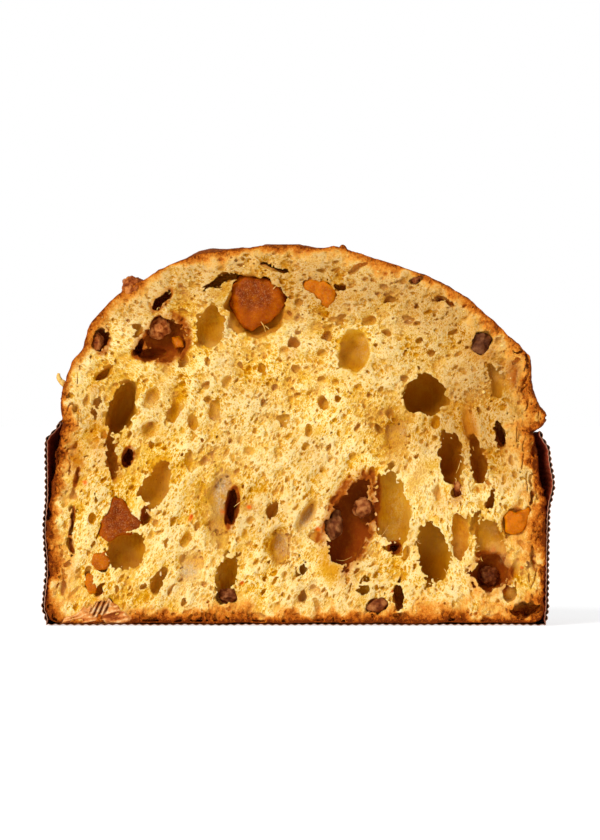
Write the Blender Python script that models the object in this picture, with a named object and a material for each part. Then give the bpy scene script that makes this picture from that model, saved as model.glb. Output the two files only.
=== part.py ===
# Half of a low panettone in its paper baking case, cut from top to bottom.
# The cut face looks along -Y, the crust curves away behind it along +Y, and the case
# stands on Z = 0. The origin is under the middle of the whole thing.
# Sizes are written in millimetres, and MM turns them into metres.

import math
import random

import bmesh
import bpy
from mathutils import Matrix, Vector, noise

MM = 0.001

# Driving dimensions of the baking case
LEFT_RIM_HEIGHT = 64.4
RIGHT_RIM_HEIGHT = 61.2
LINER_THICKNESS = 0.4
FLUTE_HEIGHT = 0.8
FLUTE_COUNT = 32
FIRST_FLUTE_HEIGHT = 1.6
FLOOR_THICKNESS = 1.0
CASE_ROUNDING = 2.2
FLOOR_ROUNDING = 1.6

# The case's radius at shares of its rim height, on its right and its left cut side
RIGHT_CASE = [(0.04, 79.2), (0.10, 79.6), (0.34, 79.8), (0.55, 79.9), (0.73, 80.8), (0.90, 80.0), (1.0, 77.4)]
LEFT_CASE = [(0.04, 79.9), (0.09, 80.8), (0.28, 79.8), (0.47, 80.5), (0.67, 79.4), (0.90, 79.4), (1.0, 75.3)]

# Driving dimensions of the loaf
CROWN_HEIGHT = 120.2
LOAF_REACH = 79.0
GAP = 0.3
LOAF_ROUNDING = 3.0
LOAF_CHAMFER = 0.9
CRUST_UNEVENNESS = 1.6
UNEVENNESS_SIZE = 26.0
SMOOTH_TOP_RADIUS = 20.0
EVEN_ROWS_AT_RIM = 3
CUT_FADE_RATE = 2.5

# The loaf's radius at heights inside the paper, which it leaves halfway up, on its two cut sides
RIGHT_SIDE = [(36.0, 80.0), (43.0, 78.0), (47.5, 76.4), (55.0, 76.4), (RIGHT_RIM_HEIGHT, 74.6)]
LEFT_SIDE = [(38.0, 80.0), (45.0, 77.8), (53.0, 76.7), (59.5, 75.6), (LEFT_RIM_HEIGHT, 73.8)]

# The crust above the paper, (distance from the middle, height), on its two cut sides
RIGHT_CROWN = [
    (74.6, RIGHT_RIM_HEIGHT), (77.2, 63.2), (78.6, 66.8), (76.6, 70.6), (74.2, 76.0), (74.2, 82.5), (72.2, 86.9),
    (61.0, 97.4), (48.5, 107.2), (36.0, 112.4), (23.0, 116.9), (14.0, 119.4), (0.0, CROWN_HEIGHT),
]
LEFT_CROWN = [
    (73.8, LEFT_RIM_HEIGHT), (74.3, 67.0), (74.2, 74.0), (71.4, 83.4), (67.2, 87.2), (65.6, 95.0),
    (58.8, 102.8), (50.0, 108.6), (40.0, 114.5), (30.5, 117.8), (15.0, 119.8), (0.0, CROWN_HEIGHT),
]

# How finely the round surfaces are divided. The loaf and the case share the first two.
SECTORS = 18
WALL_SHARES = (0.08, 0.2, 0.34, 0.47, 0.6, 0.73, 0.82, 0.9, 0.96, 1.0)
CROWN_ROWS = 18
ROWS_TOWARDS_RIM = 1.3
FLOOR_RING = 40.0

# Pockets that show on the cut face. Each row holds how far right of the middle and how high it lies,
# half its width, half its height and its depth, and then in degrees how far its top leans to the right.
CROWN_POCKETS = [
    (-42.9, 102.9, 1.8, 4.1, 9, 42), (-24.5, 108.9, 1.7, 6.0, 9, 72), (-26.8, 94.4, 4.4, 5.4, 6, 12),
    (-41.3, 90.9, 5.7, 6.3, 11, 35), (-45.4, 86.2, 1.9, 4.0, 10, 75), (-50.2, 87.7, 1.7, 2.8, 12, 8),
    (-61.7, 90.3, 2.3, 3.8, 7, 0), (-61.2, 79.8, 1.3, 3.9, 5, 55), (-7.3, 113.5, 0.8, 4.6, 8, -76),
    (13.4, 107.2, 1.2, 2.2, 5, -70), (47.0, 102.3, 0.9, 3.0, 6, -62), (-12.4, 101.2, 9.8, 9.6, 13, 30),
    (18.0, 86.5, 5.0, 6.6, 5, 5), (-51.4, 93.4, 1.3, 2.1, 3, 30), (13.9, 96.9, 1.7, 2.1, 2, 10),
    (-1.3, 89.0, 1.7, 1.7, 3, 0), (29.0, 102.9, 1.7, 1.3, 3, -10), (28.7, 92.1, 1.4, 0.9, 2, -5),
    (35.3, 97.2, 0.8, 1.8, 2, -70),
]
MIDDLE_POCKETS = [
    (40.4, 72.6, 6.9, 7.1, 15, 0), (-55.5, 68.8, 3.8, 7.9, 13, 20), (-45.8, 72.3, 2.8, 4.1, 3, 20),
    (-39.1, 66.9, 1.9, 2.8, 3, 5), (-62.8, 68.5, 1.1, 3.2, 3, 15), (-32.8, 64.7, 1.6, 2.1, 2, 0),
    (-46.1, 61.6, 3.8, 3.5, 3, 0), (-58.6, 54.0, 2.1, 6.6, 6, -5), (-53.3, 53.6, 1.6, 2.7, 12, 15),
    (31.2, 59.3, 4.1, 6.9, 3, 0), (25.2, 61.5, 0.9, 1.7, 4, 0), (29.7, 66.9, 1.4, 1.7, 3, 10),
    (48.3, 53.3, 3.5, 8.8, 10, 0), (57.1, 51.8, 2.7, 7.9, 8, -8), (64.1, 60.6, 1.9, 4.7, 11, -12),
    (62.8, 77.3, 1.6, 5.4, 4, -15), (-25.6, 68.5, 1.6, 3.2, 2, 5), (-34.1, 52.1, 1.3, 3.2, 2, 5),
    (-11.0, 81.1, 1.3, 1.6, 2, 0), (-4.1, 65.0, 1.7, 1.9, 2, 30),
]
LOWER_POCKETS = [
    (-44.8, 43.2, 3.8, 7.9, 7, 22), (-47.9, 35.4, 1.3, 2.5, 6, 0), (-24.0, 37.2, 7.9, 12.9, 5, 0),
    (-20.5, 37.2, 1.7, 5.4, 14, 8), (-54.0, 23.4, 5.4, 6.6, 8, 40), (-62.0, 11.6, 1.2, 2.6, 4, 10),
    (-43.6, 14.5, 2.2, 4.4, 5, 15), (-33.1, 17.0, 5.7, 8.2, 3, 0), (-21.8, 15.1, 3.5, 8.2, 9, 6),
    (-7.9, 36.3, 1.9, 3.0, 4, 38), (3.2, 34.7, 2.7, 6.3, 4, 27), (-6.3, 24.0, 4.6, 7.3, 4, 6),
    (1.6, 18.6, 1.4, 3.2, 4, 0), (16.1, 31.6, 6.6, 14.2, 13, 20), (30.0, 36.0, 5.4, 12.6, 7, -4),
    (30.9, 24.6, 1.7, 1.6, 12, 0), (43.2, 23.4, 5.2, 10.1, 9, -2), (61.9, 39.4, 1.7, 3.3, 5, 15),
    (51.4, 28.4, 2.2, 7.6, 3, 0), (55.9, 33.1, 1.4, 3.8, 4, 14), (61.2, 25.2, 4.4, 8.2, 7, -8),
    (60.9, 16.4, 5.7, 5.7, 11, 0), (69.1, 32.5, 4.7, 6.0, 4, 20), (32.2, 9.2, 1.7, 5.7, 9, 0),
    (21.8, 10.9, 1.9, 4.5, 4, 5), (67.5, 10.2, 2.7, 2.8, 6, 0), (71.6, 6.6, 4.6, 2.6, 10, -8),
]

# Pieces of fruit in the crumb. Each row holds how far right of the middle and how high it lies, half its
# width, its height and its thickness, how deep behind the cut its middle is, and in degrees its lean.
CANDIED_FRUIT = [
    (-12.6, 102.8, 8.2, 8.0, 6.0, 6.4, 30), (-55.5, 33.1, 6.0, 7.4, 5.0, 4.0, 18),
    (-62.6, 19.9, 2.7, 3.6, 3.0, 2.4, 0), (-64.9, 13.0, 1.8, 2.9, 2.5, 2.0, 0),
    (69.4, 32.6, 3.6, 3.9, 3.0, 3.8, 25), (7.6, 104.1, 3.1, 7.2, 3.0, 2.2, -57),
    (-36.9, 89.2, 1.8, 1.9, 2.4, 4.0, 0),
]
RAISINS = [
    (-51.8, 107.0, 3.4, 3.8, 4.0, 3.2, 50), (-63.2, 89.3, 1.8, 3.0, 2.6, 3.0, 0),
    (-43.6, 94.4, 3.2, 3.4, 3.2, 5.0, 30), (58.1, 89.2, 3.4, 3.9, 3.4, 2.6, 0),
    (37.6, 109.4, 1.5, 1.9, 2.2, 1.6, 60), (11.6, 31.4, 2.8, 4.6, 3.4, 4.6, 10),
    (21.1, 37.4, 3.6, 3.0, 3.2, 4.6, 0), (61.2, 15.4, 3.2, 3.3, 3.4, 8.4, 0),
    (25.2, 6.2, 3.3, 2.9, 3.2, 2.4, 0), (-21.8, 9.3, 3.2, 2.2, 3.0, 4.0, 0),
    (50.4, 43.0, 1.6, 3.0, 2.2, 2.0, 8),
]
BURIED_FRONT = 0.1
LARGE_FRUIT_AREA = 40.0

# Small cells scattered between the pockets
CELL_COUNT = 46
CELL_SEED = 11
CELL_HALF_WIDTH = (0.7, 1.5)
CELL_DEPTH = (1.2, 2.4)
CELL_REACH = 70.0
CELL_EDGE_MARGIN = 5.0
CELL_BASE_MARGIN = 7.0
CELL_SPACING = 0.5
TALLNESS_AT_BASE, TALLNESS_AT_CROWN = 1.7, 0.6
CROWN_LEAN = 0.55
CROWN_LEAN_START = 60.0

# An egg-shaped cutter has its middle this share of its own depth behind the cut face, or in front of it
SUNK = 0.5
POCKET_RAGGEDNESS = 0.16
WIDE_POCKET_AREA = 14.0
WIDE_POCKET_FACETS = (10, 5)
POCKET_FACETS = (7, 4)
CELL_FACETS = (5, 3)


def mix(first, second, share):
    return first + (second - first) * share


def curve_through(points, share):
    """A point on the smooth curve through points, at a share of the chords' whole length."""
    lengths = [math.dist(first, second) for first, second in zip(points, points[1:])]
    distance = share * sum(lengths)
    span = 0
    while span < len(lengths) - 1 and distance > lengths[span]:
        distance -= lengths[span]
        span += 1
    part = min(distance / lengths[span], 1.0)
    start, end = points[span], points[span + 1]
    before = points[max(span - 1, 0)]
    after = points[min(span + 2, len(points) - 1)]
    return [
        0.5 * (
            2 * b
            + (c - a) * part
            + (2 * a - 5 * b + 4 * c - d) * part ** 2
            + (3 * b - a - 3 * c + d) * part ** 3
        )
        for a, b, c, d in zip(before, start, end, after)
    ]


def value_at(table, position):
    """Read a table of (position, value) rows, with a smooth step from each row to the next."""
    if position <= table[0][0]:
        return table[0][1]
    for (low, first), (high, second) in zip(table, table[1:]):
        if position <= high:
            part = (position - low) / (high - low)
            return mix(first, second, part * part * (3 - 2 * part))
    return table[-1][1]


def towards_left(angle):
    """0 on the right side of the cut face, 1 on its left side, and in between behind it."""
    return 0.5 - 0.5 * math.cos(angle)


def rim_height(angle):
    return mix(RIGHT_RIM_HEIGHT, LEFT_RIM_HEIGHT, towards_left(angle))


def wall_heights(angle):
    """Heights at which both the case's inner face and the loaf's side are divided."""
    return [share * rim_height(angle) for share in WALL_SHARES]


def case_radius(angle, height):
    """The case's radius over its flutes."""
    share = height / rim_height(angle)
    return mix(value_at(RIGHT_CASE, share), value_at(LEFT_CASE, share), towards_left(angle))


def inner_radius(angle, height):
    """The radius of the case's smooth inner face."""
    return case_radius(angle, height) - FLUTE_HEIGHT - LINER_THICKNESS


def case_section(angle):
    """The case's half section, from the middle of its underside out and back to the middle of its floor."""
    rim = rim_height(angle)
    points = [(0, 0), (FLOOR_RING, 0), (case_radius(angle, 0) - CASE_ROUNDING, 0)]
    steps = 2 * FLUTE_COUNT
    for step in range(steps + 1):
        height = mix(FIRST_FLUTE_HEIGHT, rim, step / steps)
        valley = FLUTE_HEIGHT if step % 2 else 0
        points.append((case_radius(angle, height) - valley, height))
    points += [(inner_radius(angle, height), height) for height in reversed(wall_heights(angle))]
    floor_edge = inner_radius(angle, 0)
    points.append((floor_edge, FLOOR_THICKNESS + FLOOR_ROUNDING))
    points.append((floor_edge - FLOOR_ROUNDING, FLOOR_THICKNESS))
    points += [(FLOOR_RING, FLOOR_THICKNESS), (0, FLOOR_THICKNESS)]
    return points


def crust_swell(angle, height, radius, row):
    """How far the crust swells or sinks behind the cut face. It is nothing at the cut, the rim and the top."""
    spot = Vector((radius * math.cos(angle), radius * math.sin(angle), height)) / UNEVENNESS_SIZE
    fade = min(1.0, CUT_FADE_RATE * math.sin(angle), radius / SMOOTH_TOP_RADIUS, row / EVEN_ROWS_AT_RIM)
    return CRUST_UNEVENNESS * fade * noise.noise(spot)


def loaf_section(angle):
    """The loaf's half section, from the middle of its base up to the middle of its crown."""
    base = FLOOR_THICKNESS + GAP
    left_share = towards_left(angle)
    heights = wall_heights(angle)
    edge = inner_radius(angle, heights[0]) - GAP
    points = [(0, base), (FLOOR_RING, base), (edge - LOAF_ROUNDING, base)]
    points.append((edge - LOAF_CHAMFER, base + LOAF_CHAMFER))
    for height in heights:
        free = mix(value_at(RIGHT_SIDE, height), value_at(LEFT_SIDE, height), left_share)
        points.append((min(free, inner_radius(angle, height) - GAP), height))
    for row in range(1, CROWN_ROWS):
        share = (row / CROWN_ROWS) ** ROWS_TOWARDS_RIM
        right = curve_through(RIGHT_CROWN, share)
        left = curve_through(LEFT_CROWN, share)
        radius, height = [mix(a, b, left_share) for a, b in zip(right, left)]
        swell = crust_swell(angle, height, radius, row)
        outward = radius / LOAF_REACH
        points.append((radius + swell * outward, height + swell * (1 - outward)))
    points.append((0, CROWN_HEIGHT))
    return points


# The cut face lies half the case's depth in front of the origin
CUT_Y = -0.5 * MM * max(case_radius(math.pi / 2, height) for height in wall_heights(math.pi / 2))


def material(name, color, roughness):
    """A plain material of one colour."""
    finish = bpy.data.materials.new(name)
    finish.use_nodes = True
    shader = finish.node_tree.nodes["Principled BSDF"]
    shader.inputs["Base Color"].default_value = (*color, 1.0)
    shader.inputs["Roughness"].default_value = roughness
    shader.inputs["Metallic"].default_value = 0.0
    return finish


def add_object(name, body, finish, collection):
    """Turn a bmesh into an object with its material."""
    bmesh.ops.recalc_face_normals(body, faces=body.faces)
    mesh = bpy.data.meshes.new(name)
    body.to_mesh(mesh)
    body.free()
    mesh.materials.append(finish)
    item = bpy.data.objects.new(name, mesh)
    collection.objects.link(item)
    return item


def add_cutter(name, body, collection):
    """An object that is only cut away from the loaf."""
    cutter = add_object(name, body, None, collection)
    cutter.hide_render = True
    cutter.display_type = "WIRE"


def half_turned(section):
    """Sweep a half section round half a turn and close the cut face. Sections start and end on the axis."""
    body = bmesh.new()
    ends = section(0)
    first_pole, last_pole = [body.verts.new((0, CUT_Y, end[1] * MM)) for end in (ends[0], ends[-1])]
    rings = []
    for sector in range(SECTORS + 1):
        angle = math.pi * sector / SECTORS
        ring = []
        for radius, height in section(angle)[1:-1]:
            x = radius * math.cos(angle) * MM
            y = CUT_Y + radius * math.sin(angle) * MM
            ring.append(body.verts.new((x, y, height * MM)))
        rings.append(ring)
    for ring, following in zip(rings, rings[1:]):
        body.faces.new((first_pole, following[0], ring[0]))
        for row in range(len(ring) - 1):
            body.faces.new((ring[row], following[row], following[row + 1], ring[row + 1]))
        body.faces.new((ring[-1], following[-1], last_pole))
    outline = [edge for edge in body.edges if edge.is_boundary]
    bmesh.ops.triangle_fill(body, edges=outline, use_beauty=True, normal=(0, -1, 0))
    return body


def place(body, radii, lean, x, height, depth):
    """Bring a unit lump to its radii and lean, and put it right of the middle, up and behind the cut."""
    bmesh.ops.scale(body, verts=body.verts, vec=Vector(radii) * MM)
    bmesh.ops.rotate(body, verts=body.verts, matrix=Matrix.Rotation(math.radians(lean), 3, "Y"))
    bmesh.ops.translate(body, verts=body.verts, vec=(x * MM, CUT_Y + depth * MM, height * MM))


def egg_cutter(row, facets):
    """An egg-shaped cutter whose outline at the cut face has the pocket's width and height."""
    x, height, half_width, half_height, depth, lean = row
    sunk = SUNK if depth > half_width else -SUNK
    swell = 1 / math.sqrt(1 - sunk ** 2)
    reach = depth / (1 + sunk)
    body = bmesh.new()
    bmesh.ops.create_uvsphere(body, u_segments=facets[0], v_segments=facets[1], radius=1)
    bmesh.ops.rotate(body, verts=body.verts, matrix=Matrix.Rotation(math.pi / 2, 3, "X"))
    for vertex in body.verts:
        ragged = 1 + POCKET_RAGGEDNESS * noise.noise(vertex.co * 1.7 + Vector((x, 0, height)))
        vertex.co.x *= ragged
        vertex.co.z *= ragged
    place(body, (half_width * swell, reach, half_height * swell), lean, x, height, sunk * reach)
    return body


def fruit_lump(row, squareness, wrinkles, growth):
    """A lump of fruit cut off flat at the front, or with growth the open socket that it sits in."""
    x, height, half_width, half_height, half_depth, depth, lean = row
    body = bmesh.new()
    fineness = 3 if half_width * half_height > LARGE_FRUIT_AREA else 2
    bmesh.ops.create_icosphere(body, subdivisions=fineness, radius=1)
    for vertex in body.verts:
        bump = 1 + wrinkles * noise.noise(vertex.co * 1.6 + Vector((x, height, 3)))
        boxy = Vector([math.copysign(abs(side) ** (1 - squareness), side) for side in vertex.co])
        vertex.co = boxy * bump * (0.5 + 0.5 / max(1.0, boxy.length))
    place(body, (half_width, half_depth, half_height), lean, x, height, depth)
    body.normal_update()
    for vertex, normal in [(vertex, vertex.normal.copy()) for vertex in body.verts]:
        vertex.co += normal * growth * MM
        if not growth:
            vertex.co.y = max(vertex.co.y, CUT_Y + BURIED_FRONT * MM)
    return body


def near_outline(x, height, row, spare):
    """True where a point is inside a pocket's or a fruit's outline grown by spare millimetres."""
    lean = math.radians(row[-1])
    right, up = x - row[0], height - row[1]
    along_width = right * math.cos(lean) - up * math.sin(lean)
    along_height = right * math.sin(lean) + up * math.cos(lean)
    return math.hypot(along_width / (row[2] + spare), along_height / (row[3] + spare)) < 1


def crown_height_at(x):
    """Height of the loaf's outline above a place on the cut face."""
    outline = RIGHT_CROWN if x > 0 else LEFT_CROWN
    rows = sorted(point for point in outline if point[1] > 80)
    return value_at(rows, abs(x))


def small_cells(taken):
    """Scatter small cells where the cut face has room. Low cells stand tall and those of the crown lie flat."""
    draw = random.Random(CELL_SEED)
    cells = []
    while len(cells) < CELL_COUNT:
        x = draw.uniform(-CELL_REACH, CELL_REACH)
        height = draw.uniform(CELL_BASE_MARGIN, CROWN_HEIGHT)
        half_width = mix(*CELL_HALF_WIDTH, draw.random() ** 2)
        tallness = mix(TALLNESS_AT_BASE, TALLNESS_AT_CROWN, height / CROWN_HEIGHT) * draw.uniform(0.8, 1.2)
        above = max(0.0, height / CROWN_LEAN_START - 1)
        lean = draw.uniform(-15, 15) - CROWN_LEAN * x * above
        spare = 1.3 * half_width + CELL_SPACING
        free = not any(near_outline(x, height, row, spare) for row in taken + cells)
        if free and height < crown_height_at(x) - CELL_EDGE_MARGIN:
            cells.append((x, height, half_width, half_width * tallness, draw.uniform(*CELL_DEPTH), lean))
    return cells


def add_case(collection):
    """The half paper case with its horizontal flutes."""
    paper = material("case_paper", (0.16, 0.07, 0.04), 0.75)
    case = add_object("paper_case", half_turned(case_section), paper, collection)
    case.data.set_sharp_from_angle(angle=math.radians(25))


def add_fruit(collection, cutters):
    """Every piece of fruit, and a cutter for its socket in the loaf."""
    candied = material("candied_fruit", (0.52, 0.17, 0.02), 0.3)
    dried = material("raisin", (0.12, 0.045, 0.025), 0.5)
    kinds = [("candied_fruit", CANDIED_FRUIT, 0.3, 0.22, candied), ("raisin", RAISINS, 0.0, 0.35, dried)]
    for kind, rows, squareness, wrinkles, finish in kinds:
        for number, row in enumerate(rows, start=1):
            name = f"{kind}_{number}"
            piece = add_object(name, fruit_lump(row, squareness, wrinkles, 0), finish, collection)
            piece.data.shade_smooth()
            add_cutter(f"socket_{name}", fruit_lump(row, squareness, wrinkles, 1.2 * GAP), cutters)


def add_loaf(collection, cutters):
    """The half loaf with its crust outside, and pockets, cells and sockets in its cut face."""
    pockets = CROWN_POCKETS + MIDDLE_POCKETS + LOWER_POCKETS
    for number, row in enumerate(pockets):
        facets = WIDE_POCKET_FACETS if row[2] * row[3] > WIDE_POCKET_AREA else POCKET_FACETS
        add_cutter(f"pocket_cutter_{number}", egg_cutter(row, facets), cutters)
    for number, row in enumerate(small_cells(pockets + CANDIED_FRUIT + RAISINS)):
        add_cutter(f"cell_cutter_{number}", egg_cutter(row, CELL_FACETS), cutters)
    crumb = material("crumb", (0.80, 0.55, 0.20), 0.8)
    loaf = add_object("loaf", half_turned(loaf_section), crumb, collection)
    loaf.data.shade_smooth()
    carving = loaf.modifiers.new("pockets", "BOOLEAN")
    carving.operation = "DIFFERENCE"
    carving.solver = "EXACT"
    carving.operand_type = "COLLECTION"
    carving.collection = cutters


for old in list(bpy.data.objects):
    bpy.data.objects.remove(old, do_unlink=True)
whole = bpy.context.scene.collection
cutter_set = bpy.data.collections.new("cutters")
whole.children.link(cutter_set)
add_case(whole)
add_fruit(whole, cutter_set)
add_loaf(whole, cutter_set)
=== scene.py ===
# %% [markdown]
# # Half a panettone in its paper case
# This lesson dresses a plain model of a loaf that was cut from top to bottom. The plain
# model gives the size and the place of everything. The cells below add what makes it bread:
# an open yellow crumb, a browned crust, glossy fruit and thin ridged paper.

# %% Load the plain model
import math
import random

import bmesh
import bpy
import numpy as np
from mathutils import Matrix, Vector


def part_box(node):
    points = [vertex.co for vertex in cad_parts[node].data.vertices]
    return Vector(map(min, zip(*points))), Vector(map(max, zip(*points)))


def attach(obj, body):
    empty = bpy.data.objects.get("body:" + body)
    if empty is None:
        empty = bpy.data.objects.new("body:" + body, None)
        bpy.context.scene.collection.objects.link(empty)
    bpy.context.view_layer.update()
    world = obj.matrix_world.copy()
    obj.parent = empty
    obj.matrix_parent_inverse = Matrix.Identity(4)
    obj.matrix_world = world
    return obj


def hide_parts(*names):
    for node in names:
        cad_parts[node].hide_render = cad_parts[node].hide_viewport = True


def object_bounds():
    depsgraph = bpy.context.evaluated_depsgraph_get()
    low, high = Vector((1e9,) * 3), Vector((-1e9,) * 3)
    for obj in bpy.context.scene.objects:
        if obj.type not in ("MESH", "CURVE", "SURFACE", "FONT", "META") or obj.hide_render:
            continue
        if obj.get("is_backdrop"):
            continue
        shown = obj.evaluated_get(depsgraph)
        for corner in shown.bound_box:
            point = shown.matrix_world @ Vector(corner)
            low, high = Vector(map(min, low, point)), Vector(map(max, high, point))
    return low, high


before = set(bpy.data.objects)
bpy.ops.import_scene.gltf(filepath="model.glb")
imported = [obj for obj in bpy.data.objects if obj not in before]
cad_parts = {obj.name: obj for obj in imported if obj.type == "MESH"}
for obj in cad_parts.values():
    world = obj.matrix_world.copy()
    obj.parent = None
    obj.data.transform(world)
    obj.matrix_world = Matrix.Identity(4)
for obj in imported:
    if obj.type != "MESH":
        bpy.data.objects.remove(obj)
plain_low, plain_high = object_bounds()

import openvdb
from mathutils import Matrix, Vector, noise

print("plain model, mm:", [round(1000 * side, 1) for side in plain_high - plain_low])

# %% [markdown]
# ## Working in millimetres
# Bread is easier to think of in millimetres. X runs along the cut face, Z is up, and depth
# is measured backwards from the cut face, so that depth 0 is the knife's cut. One function
# turns such places into Blender's metres.

# %% Units and the cut face
MM = 0.001
CUT_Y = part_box("paper_case")[0].y / MM
CROWN_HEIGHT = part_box("loaf")[1].z / MM
BASE_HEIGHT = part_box("loaf")[0].z / MM


def to_metres(points):
    """Turn rows of (x, depth, height) in millimetres into metres in the model's frame."""
    return (np.asarray(points, np.float64) + (0, CUT_Y, 0)) * MM


print("cut face at", round(CUT_Y, 2), "mm, crown at", round(CROWN_HEIGHT, 1), "mm")

# %% [markdown]
# ## The loaf's outline
# The loaf is a half turn of two outlines. One is its right side at the cut, one its left, and
# behind the cut they blend into each other. The same few sizes make the plain model, so the
# dressed loaf fits it.

# %% Outline sizes
LEFT_RIM, RIGHT_RIM = 64.4, 61.2
PAPER_THICKNESS = 1.2
GAP = 0.3
RIGHT_CASE = [(0.04, 79.2), (0.10, 79.6), (0.34, 79.8), (0.55, 79.9), (0.73, 80.8), (0.90, 80.0), (1.0, 77.4)]
LEFT_CASE = [(0.04, 79.9), (0.09, 80.8), (0.28, 79.8), (0.47, 80.5), (0.67, 79.4), (0.90, 79.4), (1.0, 75.3)]
RIGHT_SIDE = [(36.0, 80.0), (43.0, 78.0), (47.5, 76.4), (55.0, 76.4), (RIGHT_RIM, 74.6)]
LEFT_SIDE = [(38.0, 80.0), (45.0, 77.8), (53.0, 76.7), (59.5, 75.6), (LEFT_RIM, 73.8)]
RIGHT_CROWN = [
    (74.6, RIGHT_RIM), (77.2, 63.2), (78.6, 66.8), (76.6, 70.6), (74.2, 76.0), (74.2, 82.5), (72.2, 86.9),
    (61.0, 97.4), (48.5, 107.2), (36.0, 112.4), (23.0, 116.9), (14.0, 119.4), (0.0, CROWN_HEIGHT),
]
LEFT_CROWN = [
    (73.8, LEFT_RIM), (74.3, 67.0), (74.2, 74.0), (71.4, 83.4), (67.2, 87.2), (65.6, 95.0),
    (58.8, 102.8), (50.0, 108.6), (40.0, 114.5), (30.5, 117.8), (15.0, 119.8), (0.0, CROWN_HEIGHT),
]


# %% Blend the two outlines
def mix(first, second, share):
    return first + (second - first) * share


def smooth(low, high, value):
    """0 below low, 1 above high, and a soft step between them."""
    part = np.clip((value - low) / (high - low), 0, 1)
    return part * part * (3 - 2 * part)


def value_at(table, position):
    """Read a table of (position, value) rows with a soft step from row to row."""
    if position <= table[0][0]:
        return table[0][1]
    for (low, first), (high, second) in zip(table, table[1:]):
        if position <= high:
            return mix(first, second, float(smooth(low, high, position)))
    return table[-1][1]


def curve_through(points, share):
    """A point on the smooth curve through points, at a share of the chords' whole length."""
    lengths = [math.dist(first, second) for first, second in zip(points, points[1:])]
    distance = share * sum(lengths)
    span = 0
    while span < len(lengths) - 1 and distance > lengths[span]:
        distance -= lengths[span]
        span += 1
    part = min(distance / lengths[span], 1.0)
    a, b, c, d = [points[min(max(span + step, 0), len(points) - 1)] for step in (-1, 0, 1, 2)]
    return [
        0.5 * (2 * q + (r - p) * part + (2 * p - 5 * q + 4 * r - s) * part ** 2
               + (3 * q - p - 3 * r + s) * part ** 3)
        for p, q, r, s in zip(a, b, c, d)
    ]


def towards_left(angle):
    """0 on the right of the cut face, 1 on its left, and in between behind it."""
    return 0.5 - 0.5 * math.cos(angle)


def rim_height(angle):
    return mix(RIGHT_RIM, LEFT_RIM, towards_left(angle))


def case_radius(angle, height):
    """The paper case's outer radius."""
    share = height / rim_height(angle)
    return mix(value_at(RIGHT_CASE, share), value_at(LEFT_CASE, share), towards_left(angle))


CROWN_SHARES = np.linspace(0, 1, 61)[1:]


def loaf_outline(angle):
    """The loaf's half outline as rows of (radius, height), from the middle of the base to the crown."""
    left = towards_left(angle)
    inside = PAPER_THICKNESS + GAP
    edge = case_radius(angle, BASE_HEIGHT) - inside
    rows = [(0, BASE_HEIGHT), (edge - 3.0, BASE_HEIGHT), (edge - 0.9, BASE_HEIGHT + 0.9), (edge, BASE_HEIGHT + 3.0)]
    for height in np.linspace(6, rim_height(angle), 20):
        free = mix(value_at(RIGHT_SIDE, height), value_at(LEFT_SIDE, height), left)
        rows.append((min(free, case_radius(angle, height) - inside), height))
    for share in CROWN_SHARES:
        right = curve_through(RIGHT_CROWN, share)
        rows.append([mix(a, b, left) for a, b in zip(right, curve_through(LEFT_CROWN, share))])
    return np.array(rows)


print("outline rows:", len(loaf_outline(0)))

# %% [markdown]
# ## Soft noise on a grid
# Bread is uneven at every size, so most steps below need soft random bumps. Blender's own
# noise is read point by point, which is slow for millions of places. Here random numbers sit
# on a coarse lattice and are spread smoothly between its points, all at once.

# %% Random bumps
NOISE_LOW = np.array((-86.0, -6.0, -6.0))
NOISE_HIGH = np.array((86.0, 90.0, 128.0))


def lattice(cell, seed):
    """Random numbers on a lattice of points a cell apart, round the whole loaf."""
    counts = np.ceil((NOISE_HIGH - NOISE_LOW) / cell).astype(int) + 4
    return np.random.default_rng(seed).standard_normal(counts).astype(np.float32)


def spline_weights(part):
    """How much each of four neighbours counts at a part of the way between the middle two."""
    return (
        (1 - part) ** 3 / 6,
        (3 * part ** 3 - 6 * part ** 2 + 4) / 6,
        (-3 * part ** 3 + 3 * part ** 2 + 3 * part + 1) / 6,
        part ** 3 / 6,
    )


def noise_on_grid(axes, cell, seed):
    """Soft noise at every place of a grid, given by its three axes."""
    values = lattice(cell, seed)
    tables = []
    for turn, axis in enumerate(axes):
        place = (axis - NOISE_LOW[turn]) / cell
        first = np.floor(place).astype(int)
        low, high = first.min(), first.max() + 4
        table = np.zeros((len(axis), high - low), np.float32)
        for step, weight in enumerate(spline_weights(place - first)):
            table[np.arange(len(axis)), first - low + step] = weight
        tables.append(table)
        values = values.take(range(low, high), axis=turn)
    for table in tables:
        values = np.tensordot(values, table, (0, 1))
    return values / 0.3


def noise_at(points, cell, seed):
    """The same soft noise at loose points. Outside the lattice it starts again."""
    values = lattice(cell, seed)
    place = ((np.asarray(points) - NOISE_LOW) / cell).astype(np.float32)
    first = np.floor(place).astype(np.int32)
    weights = [spline_weights(place[:, turn] - first[:, turn]) for turn in range(3)]
    steps = [[(first[:, turn] + step) % values.shape[turn] for step in range(4)] for turn in range(3)]
    total = np.zeros(len(place), np.float32)
    for i in range(4):
        for j in range(4):
            for k in range(4):
                found = values[steps[0][i], steps[1][j], steps[2][k]]
                total += weights[0][i] * weights[1][j] * weights[2][k] * found
    return total / 0.3


# %% [markdown]
# ## A grid of distances
# A foam of thousands of open cells can't be modelled face by face, and cutting it with
# Booleans would take hours. Instead the front of the loaf is a fine grid of numbers. Each
# says how far its place is from the bread's surface, below zero inside the bread. Cutting a
# cell is then one cheap sum, and the skin where the numbers pass zero becomes the mesh.

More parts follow.
